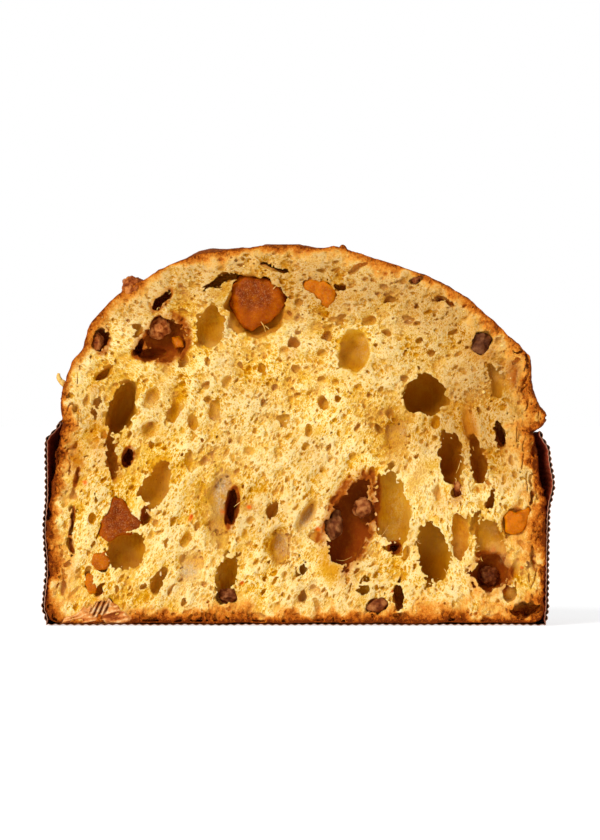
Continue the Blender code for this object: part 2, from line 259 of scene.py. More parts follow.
# %% The grid behind the cut face
VOXEL = 0.30
SLAB_DEPTH = 18.0
grid = [
    np.arange(-81.2, 81.2, VOXEL, dtype=np.float32),
    np.arange(-3 * VOXEL, SLAB_DEPTH + 3 * VOXEL, VOXEL, dtype=np.float32),
    np.arange(BASE_HEIGHT - 1.0, CROWN_HEIGHT + 2.2, VOXEL, dtype=np.float32),
]
xs, ys, zs = grid
print("grid places, millions:", round(len(xs) * len(ys) * len(zs) / 1e6, 1))


# %% Distance to the outline
def distance_to_outline(radius, height, rows):
    """Signed distance from points to a closed outline, below zero inside it."""
    best = np.full(radius.shape, 1e9, np.float32)
    inside = np.zeros(radius.shape, bool)
    for (r0, h0), (r1, h1) in zip(rows, np.roll(rows, -1, 0)):
        along_r, along_h = r1 - r0, h1 - h0
        length = along_r ** 2 + along_h ** 2
        if length < 1e-9:
            continue
        part = np.clip(((radius - r0) * along_r + (height - h0) * along_h) / length, 0, 1)
        away = np.hypot(radius - r0 - part * along_r, height - h0 - part * along_h)
        best = np.minimum(best, away)
        if along_h:
            crossed = (h0 > height) != (h1 > height)
            inside ^= crossed & (radius < r0 + (height - h0) * along_r / along_h)
    return np.where(inside, -best, best)


def loaf_distance(axes):
    """Signed distance to the loaf's outside at every place of a grid."""
    angles = np.linspace(0, math.pi, 13)
    radii = np.arange(0, 86.0, 1.0)
    heights = np.arange(-2.0, 126.0, 1.0)
    coarse_radius, coarse_height = np.meshgrid(radii, heights, indexing="ij")
    tables = []
    for angle in angles:
        half = loaf_outline(angle)
        whole = np.vstack([half, half[::-1] * (-1, 1)])
        tables.append(distance_to_outline(coarse_radius, coarse_height, whole))
    tables = np.array(tables)
    place = (axes[2] - heights[0]) / 1.0
    low = np.floor(place).astype(int)
    part = place - low
    tables = (tables[:, :, low] * (1 - part) + tables[:, :, low + 1] * part).astype(np.float32)
    x, depth = np.meshgrid(axes[0], axes[1], indexing="ij")
    turn = np.arctan2(np.maximum(depth, 0), x) / (math.pi / 12)
    reach = np.hypot(x, np.maximum(depth, 0))
    a, r = np.minimum(turn.astype(int), 11), reach.astype(int)
    turn_part, reach_part = (turn - a)[..., None], (reach - r)[..., None]
    near = tables[a, r] * (1 - turn_part) + tables[a + 1, r] * turn_part
    far = tables[a, r + 1] * (1 - turn_part) + tables[a + 1, r + 1] * turn_part
    return (near * (1 - reach_part) + far * reach_part).astype(np.float32)


outside = loaf_distance(grid)
print("loaf depth range on the grid:", round(float(outside.min()), 1), round(float(outside.max()), 1))

# %% [markdown]
# ## The crust's relief
# A baked skin wrinkles and blisters as the loaf cools. Three sizes of noise added to the
# distance do this. Inside the paper the skin is pressed flat, so the relief fades there.

# %% Relief of the skin
LUMPS = [(-51.0, 3.2, 104.6, 4.4, 3.4), (14.6, 1.0, 119.2, 1.3, 1.2)]


def add_lumps(distance):
    """Raise small lumps of crust: their place, their size and their half thickness are in the rows above."""
    for x, depth, height, reach, half in LUMPS:
        place = (xs[:, None, None] - x, ys[None, :, None] - depth, zs[None, None, :] - height)
        far = np.sqrt((place[0] / reach) ** 2 + (place[1] / half) ** 2 + (place[2] / reach) ** 2)
        np.minimum(distance, ((far - 1) * min(reach, half)).astype(np.float32), out=distance)


CRUST_RELIEF = ((7.0, 0.34, 21), (2.8, 0.20, 22), (1.3, 0.10, 23))


def relief_strength(height):
    return 0.25 + 0.75 * smooth(56, 66, height)


crust = outside.copy()
add_lumps(crust)
for cell, amount, seed in CRUST_RELIEF:
    crust += (amount * relief_strength(zs)).astype(np.float32) * noise_on_grid(grid, cell, seed)
crust -= (0.4 * (1 - smooth(34, 46, zs))).astype(np.float32)
dents = (0.60 * (1 - smooth(70, 84, zs)) * smooth(4, 10, zs)).astype(np.float32)
crust += dents * np.maximum(noise_on_grid(grid, 2.4, 24) - 0.2, 0)
crust += 0.8 * dents * np.maximum(np.abs(noise_on_grid(grid, 1.1, 25)) - 0.3, 0)

# %% [markdown]
# ## The way the dough rose
# Dough rises in streams, and they stretch its bubbles. At the left and in the middle they
# lean to the right, at the right a little to the left, and under the crown they lie along
# the crust. Everything small in the crumb follows them.

# %% Streams in the crumb
def flow_lean(x, height):
    """How far the streams lean to the right, in degrees."""
    low = mix(24.0, -12.0, smooth(20, 60, x))
    return mix(low, -0.75 * x, smooth(66, 104, height))


def tallness(height):
    """How much taller than wide the cells are."""
    return mix(2.3, 0.60, smooth(34, 108, height))


STREAM_STEP = 15
TALL, FLAT = 1.8, 0.62


def stream_noise(points, cell, seed):
    """Noise drawn out along the streams: it is read in a few fixed directions and blended between them."""
    x, depth, height = points.T
    lean = flow_lean(x, height)
    flat = np.clip((TALL - tallness(height)) / (TALL - FLAT), 0, 1)
    total, power = np.zeros(len(points)), np.full(len(points), 1e-6)
    for number, direction in enumerate(range(-60, 61, STREAM_STEP)):
        for shape, share in ((TALL, 1 - flat), (FLAT, flat)):
            weight = share * np.clip(1 - np.abs(lean - direction) / STREAM_STEP, 0, 1)
            used = np.flatnonzero(weight > 0.02)
            if len(used) == 0:
                continue
            cosine, sine, stretch = math.cos(math.radians(direction)), math.sin(math.radians(direction)), math.sqrt(shape)
            across = (x[used] * cosine - height[used] * sine) * stretch
            along = (x[used] * sine + height[used] * cosine) / stretch
            turned = np.stack([across, depth[used], along], axis=1)
            total[used] += weight[used] * noise_at(turned, cell, seed + 17 * number)
            power[used] += weight[used] ** 2
    return total / np.sqrt(power)


# %% [markdown]
# ## The large pockets
# These are the bubbles that show on the real cut, each with its place, size, depth and
# lean. Their walls were stretched smooth as the dough rose. The last two numbers say how
# brown a pocket's wall is, and how much painted shade darkens its bottom.

# %% Rows of pockets
CROWN_POCKETS = [
    (-42.9, 102.9, 1.8, 4.1, 9, 42, 0.9, 1.0), (-24.5, 108.9, 1.7, 6.0, 9, 72, 0.3, 0.7),
    (-26.8, 94.4, 4.4, 5.4, 6, 12, 0.1, 0.45), (-41.3, 90.9, 5.9, 6.5, 8, 35, 0.9, 0.35),
    (-45.4, 86.2, 1.9, 4.0, 10, 75, 1.0, 0.8), (-50.2, 87.7, 1.7, 2.8, 12, 8, 0.9, 1.0),
    (-61.7, 90.3, 2.3, 3.8, 7, 0, 0.9, 0.6), (-61.2, 79.8, 1.3, 3.9, 5, 55, 0.3, 0.5),
    (-7.3, 113.5, 0.8, 4.6, 8, -76, 0.5, 0.9), (13.4, 107.2, 1.2, 2.2, 5, -70, 0.4, 0.7),
    (47.0, 102.3, 0.9, 3.0, 6, -62, 0.7, 0.9), (-13.2, 100.6, 10.0, 9.8, 8, 30, 0.45, 0.5),
    (18.0, 86.5, 5.0, 6.6, 5, 5, 0.1, 0.5), (-51.4, 93.4, 1.3, 2.1, 3, 30, 0.3, 0.3),
    (13.9, 96.9, 1.7, 2.1, 2, 10, 0.0, 0.1), (-1.3, 89.0, 1.7, 1.7, 3, 0, 0.4, 0.5),
    (29.0, 102.9, 1.7, 1.3, 3, -10, 0.2, 0.5), (28.7, 92.1, 1.4, 0.9, 2, -5, 0.2, 0.2),
    (35.3, 97.2, 0.8, 1.8, 2, -70, 0.2, 0.2),
]
MIDDLE_POCKETS = [
    (40.4, 72.6, 6.9, 7.1, 15, 0, 0.2, 0.7), (-55.5, 68.8, 3.8, 7.9, 13, 20, 0.2, 0.8),
    (-45.8, 72.3, 2.8, 4.1, 3, 20, 0.1, 0.2), (-39.1, 66.9, 1.9, 2.8, 3, 5, 0.1, 0.3),
    (-62.8, 68.5, 1.1, 3.2, 3, 15, 0.3, 0.3), (-32.8, 64.7, 1.6, 2.1, 2, 0, 0.1, 0.2),
    (-46.1, 61.6, 3.8, 3.5, 3, 0, 0.2, 0.3), (-58.6, 54.0, 2.1, 6.6, 6, -5, 0.6, 0.5),
    (-53.3, 53.6, 1.6, 2.7, 12, 15, 1.0, 1.0), (31.2, 59.3, 4.1, 6.9, 3, 0, 0.0, 0.1),
    (25.2, 61.5, 0.9, 1.7, 4, 0, 0.2, 0.5), (29.7, 66.9, 1.4, 1.7, 3, 10, 0.1, 0.3),
    (48.3, 53.3, 3.5, 8.8, 10, 0, 0.45, 1.0), (57.1, 51.8, 2.7, 7.9, 8, -8, 0.55, 0.85),
    (54.0, 64.5, 2.6, 9.0, 2.4, -14, 0.3, 0.0), (64.1, 60.6, 1.9, 4.7, 11, -12, 0.6, 0.9), (62.8, 77.3, 1.6, 5.4, 4, -15, 0.1, 0.3),
    (-25.6, 68.5, 1.6, 3.2, 2, 5, 0.0, 0.1), (-34.1, 52.1, 1.3, 3.2, 2, 5, 0.0, 0.1),
    (-11.0, 81.1, 1.3, 1.6, 2, 0, 0.1, 0.2), (-4.1, 65.0, 1.7, 1.9, 2, 30, 0.1, 0.2),
]
LOWER_POCKETS = [
    (-44.8, 43.2, 3.8, 7.9, 7, 22, 0.3, 0.3), (-47.9, 35.4, 1.3, 2.5, 6, 0, 0.8, 0.6),
    (-24.0, 37.2, 7.9, 12.9, 3.4, 0, 0.05, 0.3), (-20.5, 37.2, 1.7, 5.4, 14, 8, 1.0, 1.0),
    (-54.0, 23.4, 5.4, 6.6, 8, 40, 0.3, 0.5), (-62.0, 11.6, 1.2, 2.6, 4, 10, 0.5, 0.6),
    (-43.6, 14.5, 2.2, 4.4, 5, 15, 0.1, 0.3), (-33.1, 17.0, 5.7, 8.2, 2.2, 0, 0.0, 0.0),
    (-21.8, 15.1, 3.5, 8.2, 9, 6, 0.1, 0.3), (-7.9, 36.3, 1.9, 3.0, 4, 38, 0.3, 0.4),
    (3.2, 34.7, 2.7, 6.3, 4, 27, 0.1, 0.5), (-6.3, 24.0, 4.6, 7.3, 4, 6, 0.0, 0.2),
    (1.6, 18.6, 1.4, 3.2, 4, 0, 0.1, 0.4), (16.1, 31.6, 6.6, 14.2, 10, 20, 1.0, 0.45),
    (30.0, 36.0, 5.4, 12.6, 7, -4, 0.1, 0.4), (30.9, 24.6, 1.7, 1.6, 12, 0, 0.9, 1.0),
    (43.2, 23.4, 5.2, 10.1, 9, -2, 0.15, 1.05), (61.9, 39.4, 1.7, 3.3, 5, 15, 0.4, 0.6),
    (51.4, 28.4, 2.2, 7.6, 3, 0, 0.5, 0.2), (55.9, 33.1, 1.4, 3.8, 4, 14, 0.1, 0.4),
    (61.2, 25.2, 4.4, 8.2, 7, -8, 0.3, 0.2), (60.9, 16.4, 5.7, 5.7, 11, 0, 0.9, 0.9),
    (69.1, 32.5, 4.7, 6.0, 4, 20, 0.1, 0.3), (32.2, 9.2, 1.7, 5.7, 9, 0, 0.5, 0.9),
    (21.8, 10.9, 1.9, 4.5, 4, 5, 0.1, 0.4), (67.5, 10.2, 2.7, 2.8, 6, 0, 0.2, 0.4),
    (71.8, 5.2, 5.4, 2.2, 10, -6, 0.9, 1.3), (-61.0, 5.4, 2.7, 2.5, 6, -20, 0.9, 0.6),
]
CRUST_SLITS = [
    (-75.2, 58.7, 0.8, 2.4, 4, 5, 0.9, 0.8), (-74.6, 53.9, 0.9, 1.9, 4, -15, 0.9, 0.8), (75.2, 54.9, 0.9, 3.6, 5, 8, 0.9, 0.9),
    (-71.0, 33.5, 0.6, 3.4, 4, 8, 0.9, 0.8), (-71.3, 25.5, 0.7, 3.2, 4, -8, 0.9, 0.8), (72.2, 82.6, 0.6, 2.8, 4, -8, 0.9, 0.9),
    (72.6, 75.6, 0.6, 3.2, 4, 8, 0.9, 0.9), (69.1, 86.6, 1.7, 0.8, 5, 0, 0.9, 0.9), (-69.6, 47.0, 0.7, 2.6, 3, 12, 0.8, 0.6),
    (74.0, 40.6, 0.6, 2.4, 4, 15, 0.8, 0.8), (74.6, 22.0, 0.6, 3.4, 3, -6, 0.8, 0.6), (-73.6, 12.5, 0.6, 2.2, 3, 10, 0.8, 0.6),
]
POCKETS = CROWN_POCKETS + MIDDLE_POCKETS + LOWER_POCKETS + CRUST_SLITS
DISHES = [row for row in POCKETS if row[2] >= 2.5 and row[4] <= 4]
print("pockets:", len(POCKETS), "of them shallow dishes:", len(DISHES))


# %% [markdown]
# ## The cut face
# A knife never leaves bread flat: the crumb tears in small steps. The face starts as a
# plane with a little noise, and every cell cut into it adds its own rim.

# %% A torn plane
face_x_of, face_z_of = np.meshgrid(xs, zs, indexing="ij")
face_places = np.stack([face_x_of.ravel(), 0 * face_x_of.ravel(), face_z_of.ravel()], axis=1)
torn_relief = 0.34 * noise_on_grid([xs, np.zeros(1), zs], 8.0, 31)
torn_relief += 0.38 * stream_noise(face_places, 3.0, 32).reshape(face_x_of.shape)[:, None, :]
uneven = 0.10 * stream_noise(face_places, 2.2, 33).reshape(face_x_of.shape)
for x, height, half_width, half_height, depth, lean in (row[:6] for row in DISHES):
    right, up = face_x_of - x, face_z_of - height
    cosine, sine = math.cos(math.radians(lean)), math.sin(math.radians(lean))
    across, along = (right * cosine - up * sine) / half_width, (right * sine + up * cosine) / half_height
    share = np.hypot(across, along) + uneven
    tilt = np.clip(1 - 0.45 * (0.6 * across - 0.8 * along), 0.4, 1.6)
    torn_relief[:, 0, :] += 0.9 * depth * tilt * (1 - smooth(0.25, 1.12, share))
front = -ys[None, :, None] + torn_relief
bread = np.maximum(crust, front)
smooth_walls = np.zeros(bread.shape, np.float32)
warp_x = 0.20 * noise_on_grid(grid, 1.4, 41) + 0.22 * noise_on_grid(grid, 4.5, 42)
warp_z = 0.20 * noise_on_grid(grid, 1.4, 43) + 0.22 * noise_on_grid(grid, 4.5, 44)
print("cut face ready")


# %% Where the torn face lies
def front_at(x, height):
    """The depth of the torn face at a place, in millimetres."""
    i = min(max(int((x - xs[0]) / VOXEL), 0), len(xs) - 1)
    k = min(max(int((height - zs[0]) / VOXEL), 0), len(zs) - 1)
    return float(torn_relief[i, 0, k])


# %% Cut one egg-shaped cell
def window(centre, reach):
    """The slices of the grid that hold everything within reach of a centre."""
    found = []
    for axis, middle in zip(grid, centre):
        first = max(0, int((middle - reach - axis[0]) / VOXEL))
        last = min(len(axis), int((middle + reach - axis[0]) / VOXEL) + 2)
        found.append(slice(first, max(first, last)))
    return tuple(found)


def egg_share(place, centre, radii, lean):
    """0 in an egg's middle and 1 on its skin, with the slope needed to make it a distance."""
    x, depth, height = place
    cosine, sine = math.cos(lean), math.sin(lean)
    right, up = x - centre[0], height - centre[2]
    across, along, back = right * cosine - up * sine, right * sine + up * cosine, depth - centre[1]
    share = np.sqrt((across / radii[0]) ** 2 + (back / radii[1]) ** 2 + (along / radii[2]) ** 2)
    slope = np.sqrt((across / radii[0] ** 2) ** 2 + (back / radii[1] ** 2) ** 2 + (along / radii[2] ** 2) ** 2)
    return share, slope


def cut_egg(centre, radii, lean, smoothness=0.0, raggedness=1.0):
    """Take an egg-shaped cell out of the bread, its outline made uneven by the warp."""
    around = window(centre, 1.1 * max(radii) + 1.2)
    if any(side.stop <= side.start for side in around):
        return
    place = (
        xs[around[0]][:, None, None] + raggedness * warp_x[around],
        ys[around[1]][None, :, None],
        zs[around[2]][None, None, :] + raggedness * warp_z[around],
    )
    share, slope = egg_share(place, centre, radii, lean)
    distance = share * (share - 1) / np.maximum(slope, 1e-6)
    np.maximum(bread[around], -distance, out=bread[around])
    if smoothness:
        np.maximum(smooth_walls[around], smoothness * (1 - smooth(1.0, 1.25, share)), out=smooth_walls[around])


# %% Cut the pockets
def pocket_egg(row):
    """The centre, the radii and the lean of the egg whose opening has a row's width and height."""
    x, height, half_width, half_height, depth, lean = row[:6]
    sunk = 0.5 if depth > half_width else -0.5
    swell = 1 / math.sqrt(1 - sunk ** 2)
    reach = depth / (1 + sunk)
    return (x, sunk * reach, height), (half_width * swell, reach, half_height * swell), math.radians(lean)


for row in POCKETS:
    if row not in DISHES:
        cut_egg(*pocket_egg(row), smoothness=float(mix(0.5, 1.0, smooth(2.0, 6.0, row[4]))), raggedness=1.4)
print("pockets cut:", len(POCKETS) - len(DISHES))

# %% [markdown]
# ## The pieces of fruit, as places
# Candied peel and raisins sit in sockets in the crumb. Their rows come before the small
# cells, so that no cell opens where a fruit lies.

# %% Rows of fruit
CANDIED_FRUIT = [
    (-12.6, 102.8, 8.2, 8.0, 6.0, 6.4, 30), (-55.5, 33.1, 6.0, 7.4, 5.0, 4.0, 18),
    (-62.6, 19.9, 2.7, 3.6, 3.0, 2.4, 0), (-64.9, 13.0, 1.8, 2.9, 2.5, 2.0, 0),
    (69.4, 32.6, 3.6, 3.9, 3.0, 3.8, 25), (7.6, 104.1, 3.1, 7.2, 3.0, 2.2, -57),
    (-36.9, 89.2, 1.8, 1.9, 2.4, 4.0, 0),
]
RAISINS = [
    (-51.8, 107.0, 3.4, 3.8, 4.0, 3.2, 50), (-63.2, 89.3, 1.8, 3.0, 2.6, 3.0, 0),
    (-43.6, 94.4, 3.2, 3.4, 3.2, 5.0, 30), (58.1, 89.2, 3.4, 3.9, 3.4, 2.6, 0),
    (37.6, 109.4, 1.5, 1.9, 2.2, 1.6, 60), (11.6, 31.4, 2.8, 4.6, 3.4, 4.6, 10),
    (21.1, 37.4, 3.6, 3.0, 3.2, 4.6, 0), (61.2, 15.4, 3.2, 3.3, 3.4, 8.4, 0),
    (25.2, 6.2, 3.3, 2.9, 3.2, 2.4, 0), (-21.8, 9.3, 3.2, 2.2, 3.0, 4.0, 0),
    (50.4, 43.0, 1.6, 3.0, 2.2, 2.0, 8),
]

# How reddish each raisin is, from 0, dark grey-brown, to 1, syrupy red-brown.
RAISIN_WARMTH = [1.0, 0.75, 1.0, 0.1, 0.5, 0.35, 0.6, 0.5, 0.5, 0.3, 0.7]

# The outlines of the peel on the cut, as points (x, height) going round.
PEEL_OUTLINES = [
    [(-20.5, 108.3), (-18.6, 110.5), (-15.8, 111.3), (-12.9, 110.9), (-8.5, 109.5), (-5.0, 107.0), (-3.2, 103.8),
     (-3.5, 101.3), (-6.3, 97.8), (-10.1, 95.7), (-14.2, 93.8), (-16.1, 94.0), (-18.6, 96.3), (-20.4, 99.7), (-21.0, 103.8)],
    [(-58.2, 41.6), (-55.2, 39.9), (-52.7, 37.2), (-50.6, 35.0), (-49.2, 33.1), (-49.5, 30.7), (-53.3, 28.7),
     (-57.1, 27.5), (-60.9, 25.2), (-62.8, 29.0), (-62.6, 32.8), (-59.8, 37.2)],
    [(-64.2, 22.8), (-60.4, 23.9), (-59.6, 21.4), (-58.7, 18.7), (-60.9, 17.4), (-63.6, 17.0), (-65.0, 19.9)],
    [(-66.6, 17.0), (-64.2, 16.5), (-63.4, 13.9), (-63.8, 10.5), (-65.8, 10.3), (-66.9, 13.3)],
    [(64.9, 34.6), (66.8, 36.8), (69.4, 35.6), (72.0, 37.4), (73.6, 38.0), (73.4, 35.1), (72.5, 31.9), (70.9, 30.3),
     (68.1, 29.1), (66.0, 29.4), (65.6, 31.9)],
    [(1.8, 108.9), (4.2, 109.7), (8.0, 109.1), (11.3, 107.3), (12.9, 104.8), (12.4, 102.3), (9.9, 100.4), (7.5, 101.6),
     (4.7, 104.3), (2.0, 106.5)],
    [(-39.6, 91.2), (-37.6, 91.6), (-36.2, 90.2), (-35.8, 88.1), (-38.4, 87.5)],
]
# How much light comes through each piece, from 0, dark, to 1, clear amber.
PEEL_GLOW = [0.30, 0.28, 0.75, 0.85, 1.0, 0.85, 0.75]
# How deep each piece of peel lies, its half thickness, and how far its face leans back to the top.
PEEL_DEPTHS = [
    (5.0, 5.0, 0.15), (3.4, 3.7, 0.03), (2.2, 2.4, 0.0), (1.8, 2.0, 0.0), (2.4, 2.2, 0.0), (2.1, 2.2, 0.0), (4.0, 2.2, 0.0),
]

# %% [markdown]
# ## Thousands of small cells
# Between the pockets the crumb is a fine foam. The cells are drawn from large to small, and
# one is kept only where the face is still free, as real bubbles push each other aside. Low
# in the loaf they stand tall, and under the crown they lie flat along the crust.

# %% Where the face is free
FACE_STEP = 0.25
face_x = np.arange(xs[0], xs[-1], FACE_STEP)
face_z = np.arange(zs[0], zs[-1], FACE_STEP)


def on_face(x, height):
    return int((x - face_x[0]) / FACE_STEP), int((height - face_z[0]) / FACE_STEP)


def face_ellipse(x, height, half_width, half_height, lean):
    """The part of the face inside a leaning ellipse, as slices and a mask."""
    reach = max(half_width, half_height) + FACE_STEP
    first_x, first_z = on_face(x - reach, height - reach)
    last_x, last_z = on_face(x + reach, height + reach)
    block = slice(max(first_x, 0), last_x + 1), slice(max(first_z, 0), last_z + 1)
    right = face_x[block[0]][:, None] - x
    up = face_z[block[1]][None, :] - height
    across = right * math.cos(lean) - up * math.sin(lean)
    along = right * math.sin(lean) + up * math.cos(lean)
    return block, (across / half_width) ** 2 + (along / half_height) ** 2 < 1


skin_distance = outside[:, 3, :]
face_free = skin_distance[
    np.clip(((face_x - xs[0]) / VOXEL).astype(int), 0, len(xs) - 1)[:, None],
    np.clip(((face_z - zs[0]) / VOXEL).astype(int), 0, len(zs) - 1)[None, :],
] < -1.3
for row in POCKETS + CANDIED_FRUIT + RAISINS:
    lean_at = 5 if len(row) == 8 else 6
    part = 0.5 if row in DISHES else 0.97
    block, mask = face_ellipse(row[0], row[1], row[2] * part, row[3] * part, math.radians(row[lean_at]))
    face_free[block] &= ~mask
print("free share of the face:", round(float(face_free.mean()), 3))


# %% Draw the cells
draw = random.Random(7)
# How many, smallest and largest radius, the share of free face that each needs, and the wall to the next.
CELL_SIZES = [
    (95, 1.05, 2.0, 0.92, 0.9),
    (560, 0.66, 1.05, 0.88, 0.45),
    (3400, 0.38, 0.66, 0.80, 0.18),
]
cells = []
for most, smallest, largest, needed, wall in CELL_SIZES:
    tries, before = 0, len(cells)
    while len(cells) - before < most and tries < 15 * most:
        tries += 1
        x, height = draw.uniform(-76, 76), draw.uniform(3, CROWN_HEIGHT - 1)
        lean = math.radians(flow_lean(x, height) + draw.gauss(0, 16))
        radius = smallest * (largest / smallest) ** (draw.random() ** 1.8)
        shape = tallness(height) * draw.uniform(0.6, 1.2)
        half_width, half_height = radius / math.sqrt(shape), radius * math.sqrt(shape)
        if not face_free[on_face(x, height)]:
            continue
        block, mask = face_ellipse(x, height, half_width + wall, half_height + wall, lean)
        if face_free[block][mask].mean() < needed:
            continue
        face_free[block] &= ~mask
        cells.append((x, height, half_width, half_height, lean))
        sunk = draw.uniform(-0.45, 0.35)
        deep = radius * draw.uniform(0.9, 1.6)
        swell = 1 / math.sqrt(1 - sunk ** 2)
        centre = (x, front_at(x, height) + sunk * deep, height)
        cut_egg(centre, (half_width * swell, deep, half_height * swell), lean, 0.25 + 0.5 * draw.random())
print("cells cut:", len(cells), "free share left:", round(float(face_free.mean()), 3))


# %% Sockets for the fruit
def cut_outline(outline, back, wall=-0.40):
    """Cut a socket of an outline, a little ragged, into the face, down to a depth."""
    middle, reach = np.mean(outline, axis=0), np.ptp(outline, axis=0).max() / 2 + 2
    around = list(window((middle[0], 0, middle[1]), reach))
    around[1] = slice(0, int(np.searchsorted(ys, back + 1)))
    around = tuple(around)
    x, height = np.meshgrid(xs[around[0]], zs[around[2]], indexing="ij")
    ragged = noise_at(np.stack([x, 0 * x, height], axis=2).reshape(-1, 3), 1.3, 60).reshape(x.shape)
    side = distance_to_outline(x, height, np.array(outline)) - wall + 0.30 * ragged
    depth = ys[around[1]][None, :, None] - back
    np.maximum(bread[around], -np.maximum(side[:, None, :], depth), out=bread[around])


for outline, (depth, half_thickness, back_lean) in zip(PEEL_OUTLINES, PEEL_DEPTHS):
    cut_outline(outline, depth + 0.5 * half_thickness)
turns = np.linspace(0, 2 * math.pi, 25)[:-1]
for x, height, half_width, half_height, thickness, depth, lean in RAISINS[1:]:
    right, up, lean = half_width * np.cos(turns), half_height * np.sin(turns), math.radians(lean)
    rim = np.stack([x + right * math.cos(lean) + up * math.sin(lean), height - right * math.sin(lean) + up * math.cos(lean)], axis=1)
    cut_outline(rim, depth, -0.1)

# %% [markdown]
# ## The finest sponge
# Between the cells the walls are a sponge that is too fine to draw cell by cell. Noise near
# the size of a voxel roughens everything that isn't a stretched, smooth pocket wall, and
# most of all what the knife has torn.

# %% Soften the cells' rims
layers = int(np.searchsorted(ys, 9.0))
shallow = bread[:, :layers]
mean = shallow.copy()
for turn in range(3):
    padded = np.pad(mean, [(1, 1) if axis == turn else (0, 0) for axis in range(3)], mode="edge")
    count = shallow.shape[turn]
    mean = sum(np.take(padded, range(step, step + count), axis=turn) * weight for step, weight in ((0, 0.25), (1, 0.5), (2, 0.25)))
bread[:, :layers] = 0.55 * shallow + 0.45 * mean
print("layers softened:", layers)

# %% Roughen the torn crumb
near = np.flatnonzero((np.abs(bread[:, :layers]) < 1.0) & (crust[:, :layers] < -0.15))
corner = np.unravel_index(near, (len(xs), layers, len(zs)))
near_places = np.stack([axis[index] for axis, index in zip(grid, corner)], axis=1)
value = bread[corner]
behind_face = near_places[:, 1] - torn_relief[corner[0], 0, corner[2]]
soft = smooth_walls[corner] * smooth(0.0, 0.7, behind_face)
skin_near = crust[corner]
inner = smooth(0.15, 0.9, -skin_near)
torn = (1 - smooth(1.5, 3.2, near_places[:, 1])) * inner
value += torn * (1 - 0.8 * soft) * 0.15 * (np.abs(stream_noise(near_places, 0.62, 51)) - 0.6)
rims = smooth_walls[corner] * (1 - smooth(0.4, 1.3, behind_face)) * inner
value += rims * 0.24 * (0.5 - np.abs(noise_at(near_places, 0.75, 56)))
value += 0.15 * inner * noise_at(near_places, 1.6, 53)
deep_wall = soft * smooth(0.8, 2.0, near_places[:, 1]) * inner
value += deep_wall * (0.22 * noise_at(near_places, 2.6, 55) + 0.08 * noise_at(near_places, 0.9, 57))
side = (1 - smooth(70, 92, near_places[:, 2])) * smooth(7, 14, near_places[:, 2])
baked = inner * (0.25 + 0.75 * torn) * smooth(-4.4, -0.8, skin_near)
value += baked * (0.26 + 0.34 * side) * (0.6 - np.abs(noise_at(near_places, 0.9, 52)))
value += baked * side * 0.40 * noise_at(near_places * (1, 1, 0.6), 1.7, 58)
flaky = np.stack([near_places[:, 0] * 1.2, near_places[:, 1], near_places[:, 2] * 0.32], axis=1)
cracks = torn * inner * side * smooth(-6.0, -3.6, skin_near) * (1 - smooth(-1.4, -0.6, skin_near))
value = np.maximum(value, np.minimum(cracks * (0.75 - 2.6 * np.abs(noise_at(flaky, 1.5, 54))) - 0.1, value + 1.2))
base = 1 - smooth(4, 8, near_places[:, 2])
value += baked * base * 0.26 * noise_at(near_places, 1.2, 59)
bread[corner] = value
print("places roughened:", len(near))


# %% [markdown]
# ## From distances to a mesh
# OpenVDB walks through the grid and lays faces where the numbers pass zero. Where the
# surface is flat it joins small faces into larger ones. The hidden back of the slab is cut
# away, because the rest of the loaf carries on there.

# %% Skin the grid
ADAPTIVITY = 0.3


def skin(field):
    """The mesh where a field passes zero, as points in millimetres and a list of faces."""
    volume = openvdb.FloatGrid(2.0)
    volume.copyFromArray(np.clip(field, -1.5, 1.5))
    points, triangles, quads = volume.convertToPolygons(0.0, ADAPTIVITY)
    places = points * VOXEL + [axis[0] for axis in grid]
    return places, triangles[:, ::-1], quads[:, ::-1]


places, triangles, quads = skin(bread)
keep_triangles = triangles[(places[triangles][:, :, 1] < SLAB_DEPTH + VOXEL).all(1)]
keep_quads = quads[(places[quads][:, :, 1] < SLAB_DEPTH + VOXEL).all(1)]
print("triangles in the crumb:", len(keep_triangles) + 2 * len(keep_quads))


# %% [markdown]
# ## What the colours need to know
# Here colour paints light and shade from form. Ridges are painted cream as if lit, pits golden
# and deep pockets ochre as painted shade, and everything near the skin is browned. Each point
# of the mesh gets these facts as attributes, and the material reads them.

# %% Facts at every point
def read_grid(values, points):
    """Read a grid's values at loose points, softly between its places."""
    place = [np.clip((points[:, turn] - grid[turn][0]) / VOXEL, 0, len(grid[turn]) - 1.001) for turn in range(3)]
    first = [side.astype(int) for side in place]
    part = [side - low for side, low in zip(place, first)]
    total = np.zeros(len(points), np.float32)
    for i in (0, 1):
        for j in (0, 1):
            for k in (0, 1):
                weight = (part[0] if i else 1 - part[0]) * (part[1] if j else 1 - part[1])
                weight = weight * (part[2] if k else 1 - part[2])
                total += weight * values[first[0] + i, first[1] + j, first[2] + k]
    return total


def box_blur(values, reach):
    """The mean over a box of places, reach to each side along every axis."""
    for turn in range(3):
        padded = np.pad(values, [(reach + 1, reach) if axis == turn else (0, 0) for axis in range(3)], mode="edge")
        total = np.cumsum(padded, axis=turn, dtype=np.float32)
        count = values.shape[turn]
        high = np.take(total, range(2 * reach + 1, 2 * reach + 1 + count), axis=turn)
        low = np.take(total, range(count), axis=turn)
        values = (high - low) / (2 * reach + 1)
    return values


